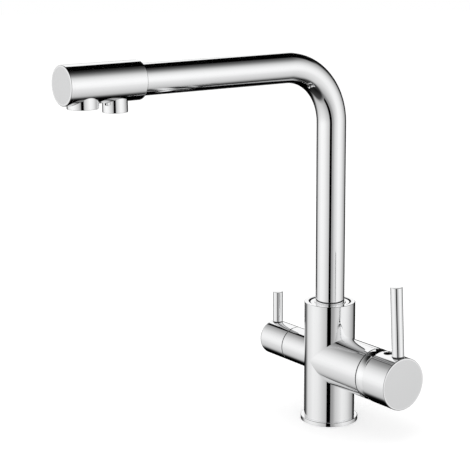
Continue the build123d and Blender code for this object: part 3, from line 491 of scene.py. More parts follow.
COLUMN = AxisLine(np.zeros(3), Z, X)
MIXER_LINE = AxisLine(BRANCH_HEIGHT * Z, X, Z)
FILTER_LINE = AxisLine(BRANCH_HEIGHT * Z, -X, Z)
SPOUT_LINE = AxisLine(SPOUT_HEIGHT * Z, -Y, -Z)


class Corner(NamedTuple):
    """A corner of a turned profile, or a point of a smooth run where a slope is given."""

    along: float
    radius: float
    rounding: float = 0.0
    slope: Optional[np.ndarray] = None


def sphere_run(middle: float, radius: float, ends: Sequence[float], sense: float) -> list[Corner]:
    """Samples a profile's arc round a point on the axis.

    Args:
        middle: the centre's place along the axis.
        radius: of the ball.
        ends: places along the axis where the arc starts and ends.
        sense: 1 for the outside of a ball, -1 for the inside.

    Returns:
        Smooth corners.
    """
    first, last = (math.acos((place - middle) / radius) for place in ends)
    ways = directions(first, last, max(2, math.ceil(abs(last - first) / BALL_STEP)))
    return [Corner(middle + radius * way[0], radius * way[1], slope=sense * way) for way in ways]


def directions(first: float, last: float, steps: int) -> np.ndarray:
    """Returns unit vectors of a profile's plane at even steps from one angle to another."""
    angles = np.linspace(first, last, steps + 1)
    return np.stack([np.cos(angles), np.sin(angles)], axis=-1)


def rounded(
    place: np.ndarray, before: np.ndarray, after: np.ndarray, rounding: float
) -> list[Pair]:
    """Rounds one corner of a profile.

    Args:
        place: the corner.
        before: outward slope of the edge that comes to it.
        after: outward slope of the edge that leaves it.
        rounding: radius of the arc.

    Returns:
        The arc's points, each with its slope.
    """
    sense = 1.0 if before[0] * after[1] > before[1] * after[0] else -1.0
    swing = math.acos(max(-1.0, min(1.0, float(before @ after))))
    way = np.array([before[1], -before[0]])
    middle = place - rounding * math.tan(swing / 2) * way + sense * rounding * before
    start = math.atan2(before[1], before[0])
    slopes = directions(start, start + sense * swing, max(2, math.ceil(swing / ARC_STEP)))
    return [(middle - sense * rounding * slope, slope) for slope in slopes]


def profile_runs(
    corners: Sequence[Sequence[Any]],
    closed: bool = False,
    lead_in: bool = False,
    lead_out: bool = False,
) -> list[Pair]:
    """Rounds a profile's corners and parts it where an edge stays sharp.

    The material lies to the right of the way that the profile goes.

    Args:
        corners: the profile in order, each as the fields of a Corner.
        closed: whether the last corner joins the first.
        lead_in: whether the first corner only gives the next one its direction.
        lead_out: whether the last corner does so for the one before it.

    Returns:
        Runs of points (along, radius) with their outward slopes.
    """
    corners = [Corner(*corner) for corner in corners]
    if closed:
        corners.append(corners[0])
    places = np.array([corner[:2] for corner in corners])
    steps = np.diff(places, axis=0)
    outward = np.stack([-steps[:, 1], steps[:, 0]], axis=-1)
    sides = list(outward / np.linalg.norm(outward, axis=1)[:, None])
    for number, (corner, following) in enumerate(zip(corners, corners[1:])):
        if corner.slope is not None and following.slope is not None:
            sides[number] = None
    entries: list[Pair] = []
    for corner, place, before, after in zip(corners, places, [None] + sides, sides + [None]):
        own = corner.slope
        if corner.rounding > 0 and before is not None and after is not None:
            entries += rounded(place, before, after, corner.rounding)
        else:
            ways = [way for way in (before, own, after) if way is not None]
            ways = [way for way in ways if own is None or way is own or way @ own < SAME_WAY]
            entries += [(place, way) for way in ways]
    entries = entries[int(lead_in) : len(entries) - int(lead_out)]
    runs = [entries[:1]]
    for last, entry in zip(entries, entries[1:]):
        if np.array_equal(last[0], entry[0]):
            if last[1] @ entry[1] > SAME_WAY:
                continue
            runs.append([])
        runs[-1].append(entry)
    return [tuple(map(np.array, zip(*run))) for run in runs if len(run) > 1]


def even_turns(count: int) -> np.ndarray:
    """Returns turns spread evenly over a full circle, in radians."""
    return np.linspace(0.0, FULL_TURN, count, endpoint=False)


def spread(bounds: Sequence[float], cells: Sequence[int]) -> np.ndarray:
    """Returns values from the first bound to the last, with so many even cells in each gap."""
    return np.interp(np.arange(sum(cells) + 1), np.cumsum([0, *cells]), bounds)


# --- Skins --------------------------------------------------------------------------------
@dataclass(frozen=True)
class Patch:
    """The faces of a turned piece between two places on its axis, in a finish of their own."""

    finish: Finish
    line: AxisLine
    first: float
    last: float
    inner: float = 0.0
    outer: float = math.inf

    @classmethod
    def flat(cls, finish: Finish, line: AxisLine, level: float, **bounds: float) -> "Patch":
        """Returns the patch of the flat faces at one place on the axis."""
        return cls(finish, line, level - HAIR, level + HAIR, **bounds)

    def holds(self, middle: np.ndarray) -> bool:
        """Tells the patch's faces from the others.

        Args:
            middle: the middle of a face, in millimetres.

        Returns:
            Whether the face belongs to the patch.
        """
        off = middle - self.line.origin
        along = float(off @ self.line.along)
        radius = float(np.linalg.norm(off - along * self.line.along))
        return self.first <= along <= self.last and self.inner <= radius <= self.outer


class Skin:
    """Collects the patches of one piece, with the exact slope of the surface at each corner."""

    def __init__(self) -> None:
        """Starts empty."""
        self.points: list[np.ndarray] = []
        self.slopes: list[np.ndarray] = []
        self.faces: list[np.ndarray] = []
        self.count = 0

    def _add(self, points: np.ndarray, slopes: np.ndarray, faces: np.ndarray) -> None:
        """Adds faces and turns each one to face along its slopes.

        Args:
            points: corner places, one row each, in millimetres.
            slopes: outward directions at them.
            faces: rows of four or three corner numbers.
        """
        corners = points[faces]
        if faces.shape[1] == 4:
            facing = np.cross(corners[:, 2] - corners[:, 0], corners[:, 3] - corners[:, 1])
        else:
            facing = np.cross(corners[:, 1] - corners[:, 0], corners[:, 2] - corners[:, 0])
        inward = np.einsum("ij,ij->i", facing, slopes[faces].mean(axis=1)) < 0
        self.points.append(points)
        self.slopes.append(slopes)
        self.faces.append(np.where(inward[:, None], faces[:, ::-1], faces) + self.count)
        self.count += len(points)

    def grid(
        self, points: np.ndarray, slopes: np.ndarray, keep: Union[slice, np.ndarray] = slice(None)
    ) -> None:
        """Adds a patch of four sided faces whose last column joins the first.

        Args:
            points: places, rows by columns by three, in millimetres.
            slopes: outward directions, in the same shape or one row for all.
            keep: which cells to make, rows - 1 by columns.
        """
        slopes = np.broadcast_to(slopes, points.shape)
        number = np.arange(points.size // 3).reshape(points.shape[:2])
        after = np.roll(number, -1, axis=1)
        cells = np.stack([number[:-1], number[1:], after[1:], after[:-1]], axis=-1)
        self._add(points.reshape(-1, 3), slopes.reshape(-1, 3), cells[keep].reshape(-1, 4))

    def turn(
        self,
        line: AxisLine,
        corners: Sequence[Sequence[Any]],
        turns: Union[int, np.ndarray],
        **ends: bool,
    ) -> None:
        """Turns a profile round a line.

        Args:
            line: the axis.
            corners: the profile, as profile_runs takes it.
            turns: places round the axis in radians, or the number of even ones.
            **ends: how the profile starts and ends, as profile_runs takes it.
        """
        turns = even_turns(turns) if isinstance(turns, int) else turns
        for places, slopes in profile_runs(corners, **ends):
            ways = slopes[:, :1, None] * line.along + slopes[:, 1:, None] * line.radial(turns)
            self.grid(line.at(places[:, :1], places[:, 1:], turns), ways)

    def sleeve(
        self, line: AxisLine, radius: float, turns: np.ndarray, ends: Sequence[Places], rows: int
    ) -> None:
        """Adds a round wall between two ends, which are levels for all turns or for each."""
        levels = ends[0] + np.linspace(0, 1, rows)[:, None] * (ends[1] - ends[0])
        self.grid(line.at(levels, radius, turns), line.radial(turns))

    def plate(self, loops: Sequence[np.ndarray], across: AxisLine) -> None:
        """Adds a flat face with holes.

        Args:
            loops: the outline, then the holes' outlines, as points in millimetres.
            across: a line square to the plate, from the plate the way that it faces.
        """
        flat, faces = [], []
        for loop in loops:
            off = loop - across.origin
            u, v = off @ across.up, off @ across.side
            numbers = list(range(len(flat), len(flat) + len(loop)))
            if float(u @ np.roll(v, -1) - v @ np.roll(u, -1)) < 0:
                numbers.reverse()
            flat += [Vector((float(p), float(q))) for p, q in zip(u, v)]
            faces.append(numbers)
        made = delaunay_2d_cdt(flat, [], faces, 0, 1e-7)
        places, triangles, sources = made[0], made[2], made[5]
        inside = [three for three, source in zip(triangles, sources) if source == [0]]
        points = across.origin + np.array([p[0] * across.up + p[1] * across.side for p in places])
        self._add(points, np.broadcast_to(across.along, points.shape), np.array(inside))

    def piece(self, name: str, body: Body, node: str, *patches: Patch) -> None:
        """Makes the mesh object in chrome, with its patches joined and its slopes kept.

        Args:
            name: the object's name.
            body: what it rides on.
            node: the frame node that it stands for.
            *patches: parts of its surface with another finish.
        """
        slopes = np.concatenate(self.slopes)
        slopes = slopes / np.linalg.norm(slopes, axis=1)[:, None]
        faces = [tuple(map(int, face)) for batch in self.faces for face in batch]
        mesh = bpy.data.meshes.new(name)
        mesh.from_pydata((np.concatenate(self.points) * MM).tolist(), [], faces)
        wanted = mesh.attributes.new("slope", "FLOAT_VECTOR", "CORNER")
        numbers = [number for face in faces for number in face]
        wanted.data.foreach_set("vector", slopes[numbers].astype(np.float32).ravel())
        with edited(mesh) as work:
            bmesh.ops.remove_doubles(work, verts=work.verts, dist=MERGE)
            bmesh.ops.dissolve_degenerate(work, edges=work.edges, dist=MERGE / 4)
            loose = [vertex for vertex in work.verts if not vertex.link_faces]
            bmesh.ops.delete(work, geom=loose, context="VERTS")
        kept = np.zeros(len(mesh.loops) * 3, np.float32)
        mesh.attributes["slope"].data.foreach_get("vector", kept)
        mesh.attributes.remove(mesh.attributes["slope"])
        mesh.shade_smooth()
        mesh.normals_split_custom_set(kept.reshape(-1, 3).tolist())
        mesh.materials.append(POLISHED_CHROME.material())
        for number, patch in enumerate(patches, start=1):
            mesh.materials.append(patch.finish.material())
            for polygon in mesh.polygons:
                if patch.holds(np.array(polygon.center) / MM):
                    polygon.material_index = number
        stand_for(new_object(name, mesh), body, node)


def turned_piece(
    names: tuple[str, Body, str],
    line: AxisLine,
    corners: Sequence[Sequence[Any]],
    count: int,
    *patches: Patch,
    closed: bool = False,
) -> None:
    """Makes a piece that is one turned profile.

    Args:
        names: its name, what it rides on and the frame node that it stands for.
        line: the axis.
        corners: the profile.
        count: of even places round the axis.
        *patches: parts of its surface with another finish.
        closed: whether the profile's last corner joins the first.
    """
    skin = Skin()
    skin.turn(line, corners, count, closed=closed)
    skin.piece(*names, *patches)


@contextmanager
def edited(mesh: bpy.types.Mesh) -> Iterator[bmesh.types.BMesh]:
    """Opens a mesh for editing and writes it back.

    Args:
        mesh: the mesh.

    Yields:
        The open mesh.
    """
    work = bmesh.new()
    work.from_mesh(mesh)
    yield work
    work.to_mesh(mesh)
    work.free()


def new_object(name: str, data: bpy.types.ID) -> bpy.types.Object:
    """Adds an object at the origin of the scene.

    Args:
        name: the object's name.
        data: its mesh, lamp or camera.

    Returns:
        The object.
    """
    made = bpy.data.objects.new(name, data)
    bpy.context.scene.collection.objects.link(made)
    return made


def stand_for(piece: bpy.types.Object, body: Body, node: str) -> None:
    """Lets a chrome piece ride on its body in place of a frame node.

    Args:
        piece: the finished mesh object.
        body: what it rides on.
        node: the node that it stands for.
    """
    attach(piece, body.value)
    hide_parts(node)
    LOG.info("%s: %d faces, stands for %s", piece.name, len(piece.data.polygons), node)


# --- Bores and bosses ---------------------------------------------------------------------
@dataclass
class Window:
    """A part of a belt's grid that gives way to a bore or a boss."""

    line: AxisLine  # the bore's, which points out of the surface
    radius: float
    rows: tuple[int, int]  # of the belt's grid, from and to
    columns: tuple[int, int]
    edge: float  # rounding where the bore meets the surface
    rise: float = -1.0  # 1 for a boss
    turns: np.ndarray = field(default_factory=lambda: np.zeros(0))


@dataclass
class Belt:
    """A round band of a piece's surface, straight or ball shaped, with windows for bores."""

    line: AxisLine
    radius: float
    rows: np.ndarray
    turns: np.ndarray
    ball_middle: Optional[float] = None
    outward: float = 1.0
    rings: int = 5

    def _surface(self, along: np.ndarray, turns: np.ndarray) -> Pair:
        """Gives the band's points and slopes.

        Args:
            along: places along the axis.
            turns: places round it.

        Returns:
            Points and outward directions.
        """
        if self.ball_middle is None:
            return self.line.at(along, self.radius, turns), self.line.radial(turns) * self.outward
        radius = np.sqrt(np.maximum(self.radius**2 - (along - self.ball_middle) ** 2, 0.0))
        points = self.line.at(along, radius, turns)
        centre = self.line.origin + self.ball_middle * self.line.along
        return points, (points - centre) / self.radius * self.outward

    def meet(self, line: AxisLine, radius: float, turns: np.ndarray) -> np.ndarray:
        """Finds where a circle round a bore's line meets the band, along that line.

        Args:
            line: the bore's line.
            radius: of the circle.
            turns: places on it, in radians.

        Returns:
            The points on the band.
        """
        start = line.at(0.0, radius, turns)
        off, way, along = start - self.line.origin, line.along, self.line.along
        if self.ball_middle is None:
            off = off - (off @ along)[:, None] * along
            way = way - (way @ along) * along
        else:
            off = off - self.ball_middle * along
        square, half = way @ way, off @ way
        rest = np.einsum("ij,ij->i", off, off) - self.radius**2
        reach = (-half + np.sqrt(half**2 - square * rest)) / square
        return start + reach[:, None] * line.along

    def build(self, skin: Skin, *windows: Window) -> None:
        """Adds the band to a skin, with the frames of its windows.

        Args:
            skin: the piece's skin.
            *windows: the bores' windows, whose turns are filled in here.
        """
        points, slopes = self._surface(self.rows[:, None], self.turns)
        keep = np.ones((len(self.rows) - 1, len(self.turns)), bool)
        for window in windows:
            keep[slice(*window.rows), slice(*window.columns)] = False
        skin.grid(points, slopes, keep)
        for window in windows:
            self._frame(skin, points, window)

    def _frame(self, skin: Skin, points: np.ndarray, window: Window) -> None:
        """Adds the faces between a window's border and its bore, and the bore's rounded edge.

        Args:
            skin: the piece's skin.
            points: the band's grid.
            window: the window.
        """
        (i0, i1), (j0, j1) = window.rows, window.columns
        border = np.concatenate(
            [points[i0, j0:j1], points[i0:i1, j1], points[i1, j1:j0:-1], points[i1:i0:-1, j0]]
        )
        line, edge, rise = window.line, window.edge, window.rise
        window.turns = line.read(border)[1]
        rim = self.meet(line, window.radius + edge, window.turns)
        ends = np.array([self.line.read(rim), self.line.read(border)])
        seam_clear = abs(ends[0, 1]).max() < math.radians(170)
        middle = ends[0, 1].mean() if seam_clear else np.pi
        ends[:, 1] = (ends[:, 1] - middle + np.pi) % FULL_TURN - np.pi + middle
        share = np.linspace(0.0, 1.0, self.rings)[:, None, None] ** 1.3  # closer near the rim
        places = ends[0] + share * (ends[1] - ends[0])
        skin.grid(*self._surface(places[:, 0], places[:, 1]))
        if edge == 0:
            return
        arc, slopes = [], []
        for angle in np.linspace(0.0, RIGHT_ANGLE, 6):
            rim = self.meet(line, window.radius + edge * (1.0 - math.sin(angle)), window.turns)
            surface = self._surface(*self.line.read(rim))[1]
            arc.append(rim + rise * edge * (1.0 - math.cos(angle)) * line.along)
            outward = rise * math.sin(angle) * line.radial(window.turns)
            slopes.append(math.cos(angle) * surface + outward)
        skin.grid(np.array(arc), np.array(slopes))

    def wall(self, skin: Skin, window: Window, end: Places, floor: bool = False) -> None:
        """Adds the straight wall of a bore or a boss.

        Args:
            skin: the piece's skin.
            window: the bore's window.
            end: ring of points at the far end, or its level on the bore's line.
            floor: whether a flat floor closes the bore at that level.
        """
        line, radius = window.line, window.radius
        start = self.meet(line, radius, window.turns) + window.rise * window.edge * line.along
        if floor:
            skin.turn(line, [(end, radius), (end, 0.0)], window.turns)
        if isinstance(end, float):
            end = line.at(end, radius, window.turns)
        points = start + np.linspace(0.0, 1.0, 4)[:, None, None] * (end - start)
        skin.grid(points, line.radial(line.read(points)[1]) * window.rise)


# --- Sub-assemblies -----------------------------------------------------------------------
@dataclass(frozen=True)
class Branch:
    """A branch of the body: a round arm whose end holds a valve in a stepped bore."""

    line: AxisLine
    radius: float
    reach: float
    mouth: float
    mouth_floor: float
    bore: float
    floor: float
    rounding: float = 0.2
    mouth_rounding: float = 0.15

    def build(self, skin: Skin, turns: np.ndarray, start: np.ndarray, rows: int) -> None:
        """Adds the branch, from its joint with the column to the floor of its bore.

        Args:
            skin: the casting's skin.
            turns: places round the branch, in radians.
            start: the joint's level at each of them.
            rows: rings of points between the joint and the end.
        """
        end = self.reach - self.rounding
        skin.sleeve(self.line, self.radius, turns, (start, end), rows)
        seat = [
            (end - SPARE, self.radius),
            (self.reach, self.radius, self.rounding),
            (self.reach, self.mouth, self.mouth_rounding),
            (self.mouth_floor, self.mouth),
            (self.mouth_floor, self.bore),
            (self.floor, self.bore),
            (self.floor, 0.0),
        ]
        skin.turn(self.line, seat, turns, lead_in=True)

    def joint(self) -> Patch:
        """Returns the patch of painted shade on the end face, which shows in the joint with the
        next piece.
        """
        return Patch.flat(JOINT_SHADOW, self.line, self.reach)


@dataclass
class TapBody:
    """The cast column with its two branches, and the ring at its foot."""

    mixer_branch: Branch = Branch(
        MIXER_LINE, radius=22.5, reach=61.3, mouth=19.42, mouth_floor=56.8, bore=17.42, floor=28.0
    )
    filter_branch: Branch = Branch(
        FILTER_LINE, radius=15.9, reach=48.7, mouth=12.0, mouth_floor=38.0, bore=10.0, floor=24.48
    )
    radius: float = 22.5
    height: float = 108.8
    rim_rounding: float = 0.5
    rim_shadow: float = 0.3
    foot_radius: float = 21.0
    foot_height: float = 1.6
    counterbore_radius: float = 18.7
    counterbore_floor: float = 104.8
    counterbore_rounding: float = 0.25
    chamber_radius: float = 15.0
    chamber_floor: float = 84.0
    chamber_rounding: float = 0.2
    lock_hole_radius: float = 2.52
    lock_hole_height: float = 91.8
    lock_hole_edge: float = 0.2
    lock_hole_web: float = 0.3
    belt_foot: float = 84.0
    inlet: tuple[float, float] = (4.5, 14.0)  # radius and depth
    inlet_places: tuple[tuple[float, float], ...] = ((6.0, -8.6), (6.0, 8.6), (-11.0, 0.0))
    stud_hole: tuple[float, float] = (3.4, 16.0)
    stud_hole_places: tuple[tuple[float, float], ...] = ((-6.5, -11.9), (-6.5, 11.9))
    ring_radius: float = 25.5
    ring_height: float = 3.5
    ring_rounding: float = 0.6
    ring_edge: float = 0.15
    groove_inner: float = 22.3
    groove_outer: float = 24.3
    groove_depth: float = 1.0

    def _column_turns(self) -> Pair:
        """Spreads places round the column so that both branches' joints meet them.

        Returns:
            Turns, and how far a joint reaches above and below its axis at each of them.
        """
        narrow = self.filter_branch.radius
        tip = math.degrees(math.asin(narrow / self.radius))
        right = np.radians(np.linspace(-90, 90, 73))
        side = np.radians(spread((90, 100, 180 - tip), (4, 12)))[1:-1]
        swing = np.radians(np.linspace(90, -90, 49))
        bare = np.zeros(len(side))
        left = math.pi - np.arcsin(narrow * np.sin(swing) / self.radius)
        turns = np.concatenate([right, side, left, FULL_TURN - side[::-1]])
        joints = [self.radius * np.cos(right), bare, narrow * np.cos(swing), bare]
        return turns, np.concatenate(joints)

    def _column(self, skin: Skin) -> None:
        """Adds the column's outside with its lock screw's hole, its swivel chamber and its foot.

        Args:
            skin: the casting's skin.
        """
        turns, half = self._column_turns()
        low, high = BRANCH_HEIGHT - half, BRANCH_HEIGHT + half
        for ends in ((self.foot_height, low), (high, self.belt_foot)):
            skin.sleeve(COLUMN, self.radius, turns, ends, 6)
        rows = np.linspace(self.belt_foot, self.height - self.rim_rounding, 9)
        columns = tuple(int(np.argmin(abs(turns - math.radians(way)))) for way in (80, 100))
        lock_line = AxisLine(self.lock_hole_height * Z, Y, Z)
        lock = Window(lock_line, self.lock_hole_radius, (1, 4), columns, self.lock_hole_edge)
        belt = Belt(COLUMN, self.radius, rows, turns)
        belt.build(skin, lock)
        belt.wall(skin, lock, self.chamber_radius + self.lock_hole_web, floor=True)
        chamber = [
            (self.height - self.rim_rounding - SPARE, self.radius),
            (self.height, self.radius, self.rim_rounding),
            (self.height, self.counterbore_radius, self.counterbore_rounding),
            (self.counterbore_floor, self.counterbore_radius),
            (self.counterbore_floor, self.chamber_radius, self.chamber_rounding),
            (self.chamber_floor, self.chamber_radius),
            (self.chamber_floor, 0.0),
        ]
        skin.turn(COLUMN, chamber, turns, lead_in=True)
        self._underside(skin, turns)

    def _underside(self, skin: Skin, turns: np.ndarray) -> None:
        """Adds the foot with its threaded inlets and stud holes.

        Args:
            skin: the casting's skin.
            turns: places round the column.
        """
        foot = [
            (0.0, self.foot_radius),
            (self.foot_height, self.foot_radius),
            (self.foot_height, self.radius),
        ]
        skin.turn(COLUMN, foot, turns)
        holes = [(*place, *self.inlet) for place in self.inlet_places]
        holes += [(*place, *self.stud_hole) for place in self.stud_hole_places]
        loops = [COLUMN.at(0.0, self.foot_radius, turns)]
        for x, y, radius, depth in holes:
            line = AxisLine(x * X + y * Y, Z, X)
            loops.append(line.at(0.0, radius, even_turns(40)))
            skin.turn(line, [(depth, 0.0), (depth, radius), (0.0, radius)], 40)
        skin.plate(loops, AxisLine(np.zeros(3), -Z, X))

    def _ring(self) -> None:
        """Builds the ring at the foot, with the groove of its seal."""
        bore, foot_bore = self.radius + FIT, self.foot_radius + FIT
        corners = [
            (0.0, self.ring_radius, self.ring_edge),
            (self.ring_height, self.ring_radius, self.ring_rounding),
            (self.ring_height, bore, self.ring_edge),
            (self.foot_height, bore),
            (self.foot_height, foot_bore),
            (0.0, foot_bore),
            (0.0, self.groove_inner),
            (self.groove_depth, self.groove_inner),
            (self.groove_depth, self.groove_outer),
            (0.0, self.groove_outer),
        ]
        turned_piece(("foot_ring", Body.TAP, "base_ring"), COLUMN, corners, 160, closed=True)

    def build(self) -> None:
        """Builds the casting and the ring at its foot."""
        casting = Skin()
        self._column(casting)
        turns = np.radians(np.arange(-90, 270, 2.5))
        self.mixer_branch.build(casting, turns, self.radius * abs(np.cos(turns)), 7)
        swing = np.radians(np.linspace(90, -90, 49))
        turns = np.concatenate([swing, math.pi - swing[::-1][1:-1]])
        across = self.filter_branch.radius * np.sin(turns)
        self.filter_branch.build(casting, turns, np.sqrt(self.radius**2 - across**2), 6)
        # painted shade on the counterbore's wall, in the gap round the spout collar below the rim
        low, high = self.counterbore_floor, self.height - self.rim_shadow
        gap = Patch(JOINT_SHADOW, COLUMN, low, high, outer=self.counterbore_radius + HAIR)
        patches = (self.mixer_branch.joint(), self.filter_branch.joint(), gap)
        casting.piece("column_and_branches", Body.TAP, "body_casting", *patches)
        self._ring()


def crest_line(place: float, radius: float, lean: float = 0.0) -> AxisLine:
    """Gives a line that stands on the crest of a hub.

    Args:
        place: where it stands, along X.
        radius: of the hub.
        lean: how far it leans towards -X, in degrees.

    Returns:
        The line.
    """
    sine, cosine = math.sin(math.radians(lean)), math.cos(math.radians(lean))
    crest = place * X + (BRANCH_HEIGHT + radius) * Z
    return AxisLine(crest, cosine * Z - sine * X, cosine * X + sine * Z)


@dataclass(frozen=True)
class LeverRod:
    """A handle's round rod, from its threaded stud to its eased top, and its seat in the hub."""

    name: str
    node: str
    body: Body
    line: AxisLine
    radius: float
    length: float
    stud_radius: float
    sink: float = 1.6
    stud_length: float = 7.0
    stud_rounding: float = 0.3
    hole_spare: float = 0.3
    top_rounding: float = 0.6
    foot_groove: float = 0.5
    groove_depth: float = 0.25
    groove_rounding: float = 0.08
    foot_rounding: float = 0.1

    def seat(self, skin: Skin, belt: Belt, window: Window) -> None:
        """Adds the rod's seat to its hub.

        Args:
            skin: the hub's skin.
            belt: the hub's outside.
            window: the seat's window in it.
        """
        belt.wall(skin, window, -self.sink)
        depth = -self.sink - self.stud_length - self.hole_spare
        hole = self.stud_radius + FIT
        floor = [(-self.sink, self.radius + FIT), (-self.sink, hole), (depth, hole), (depth, 0.0)]
        skin.turn(self.line, floor, window.turns)

    def build(self) -> None:
        """Builds the rod, with painted shade in the real groove where it stands on its hub."""
        end, neck = -self.sink - self.stud_length, self.radius - self.groove_depth
        corners = [
            (end, 0.0),
            (end, self.stud_radius, self.stud_rounding),
            (-self.sink, self.stud_radius),
            (-self.sink, neck, self.foot_rounding),
            (self.foot_groove, neck),
            (self.foot_groove, self.radius, self.groove_rounding),
            (self.length, self.radius, self.top_rounding),
            (self.length, 0.0),
        ]
        # painted shade in the foot groove, where the rod stands in its seat
        groove = Patch(JOINT_SHADOW, self.line, -self.sink, self.foot_groove)
        turned_piece((self.name, self.body, self.node), self.line, corners, 96, groove)


@dataclass
class MixerHandle:
    """The trim ring, the hub and the lever of the hot and cold mixer."""

    pivot: float = 62.0
    ring_start: float = 61.3
    ring_end: float = 71.8
    ring_rounding: float = 0.12
    dome_radius: float = 22.5
    dome_bore: float = 20.7
    flange_end: float = 65.0
    flange_bore: float = 16.52
    joint_width: float = 1.1
    joint_depth: float = 0.7
    joint_rounding: float = 0.1
    lip_margin: float = 0.15
    hub_radius: float = 22.65
    hub_start: float = 71.0
    hub_end: float = 97.3
    hub_cavity: float = 23.1
    hub_edge: float = 0.3
    hub_rounding: float = 0.8
    bright_ring: float = 0.7
    boss_radius: float = 7.5
    boss_start: float = 73.5
    boss_rounding: float = 0.3
    screw_place: float = 78.2
    screw_access: float = 4.0
    screw_edge: float = 0.25
    window_rows: tuple[float, float, float] = (72.8, 84.0, 96.2)
    cavity_rows: tuple[float, float] = (72.8, 83.2)
    rod_edge: float = 0.15
    rod: LeverRod = LeverRod(
        "mixer_lever",
        "mixer_lever_rod",
        Body.MIXER_HANDLE,
        crest_line(place=90.1, radius=22.65, lean=3.5),
        radius=5.2,
        length=59.5,
        stud_radius=3.0,
    )

    def _at_dome(self, radius: float, along: float) -> float:
        """Returns how far from the axis a ball round the pivot is, at a place along it."""
        return math.sqrt(radius**2 - (along - self.pivot) ** 2)

    def _trim_ring(self) -> None:
        """Builds the domed ring that covers the lever's pivot."""
        lip, end = self.ring_start + self.joint_width, self.ring_end
        sunk = self.dome_radius - self.joint_depth
        dome, bore = (lip + self.lip_margin, end - SPARE), (end, self.flange_end)
        corners = [
            (self.ring_start, self.flange_bore),
            (self.ring_start, sunk),
            (lip, sunk),
            (lip, self._at_dome(self.dome_radius, lip), self.joint_rounding),
            *sphere_run(self.pivot, self.dome_radius, dome, 1.0),
            (end, self._at_dome(self.dome_radius, end), self.ring_rounding),
            *sphere_run(self.pivot, self.dome_bore, bore, -1.0),
            (self.flange_end, self.flange_bore),
        ]
        start = self.ring_start - HAIR
        # painted shade on the ring's sunk joint step, next to the branch's end
        joint = Patch(JOINT_SHADOW, MIXER_LINE, start, lip + HAIR, outer=sunk + SPARE)
        names = ("mixer_dome_ring", Body.TAP, "mixer_trim_ring")
        turned_piece(names, MIXER_LINE, corners, 144, joint, closed=True)

    def _hub(self) -> None:
        """Builds the hub with its ball shaped cavity, screw hole and rod seat."""
        turns = np.radians(spread((-22, 22, 338), (22, 105)))[:-1]
        skin, rod = Skin(), self.rod
        rear, front = self.hub_start + self.hub_edge, self.hub_end - self.hub_rounding
        rows = spread((rear, *self.window_rows, front), (1, 8, 8, 1))
        up = AxisLine(self.screw_place * X + BRANCH_HEIGHT * Z, Z, X)
        screw = Window(up, self.screw_access, (1, 9), (0, 22), self.screw_edge)
        seat = Window(rod.line, rod.radius + FIT, (9, 17), (0, 22), self.rod_edge)
        outside = Belt(MIXER_LINE, self.hub_radius, rows, turns)
        outside.build(skin, screw, seat)
        rim = self._at_dome(self.hub_cavity, self.hub_start)
        apex = self.pivot + math.sqrt(self.hub_cavity**2 - self.boss_radius**2)
        hole_foot = Window(up, self.screw_access, (1, 9), (0, 22), 0.0)
        ball_rows = spread((self.hub_start, *self.cavity_rows, apex), (1, 8, 1))
        cavity = Belt(MIXER_LINE, self.hub_cavity, ball_rows, turns, self.pivot, outward=-1.0)
        cavity.build(skin, hole_foot)
        outside.wall(skin, screw, cavity.meet(up, self.screw_access, hole_foot.turns))
        rod.seat(skin, outside, seat)
        boss = [
            (self.boss_start, 0.0),
            (self.boss_start, self.boss_radius, self.boss_rounding),
            (apex, self.boss_radius),
        ]
        skin.turn(MIXER_LINE, boss, turns)
        back = [
            (self.hub_start, rim),
            (self.hub_start, self.hub_radius, self.hub_edge),
            (rear + SPARE, self.hub_radius),
        ]
        skin.turn(MIXER_LINE, back, turns, lead_out=True)
        faced = self.hub_radius - self.hub_rounding - self.bright_ring
        face = [
            (front - SPARE, self.hub_radius),
            (self.hub_end, self.hub_radius, self.hub_rounding),
            (self.hub_end, faced),
            (self.hub_end, 0.0),
        ]
        skin.turn(MIXER_LINE, face, turns, lead_in=True)
        front_face = Patch.flat(FACED_CHROME, MIXER_LINE, self.hub_end, outer=faced)
        skin.piece("mixer_hub", Body.MIXER_HANDLE, "mixer_handle_hub", front_face)

    def build(self) -> None:
        """Builds the trim ring, the hub and the lever."""
        self._trim_ring()
        self._hub()
        self.rod.build()


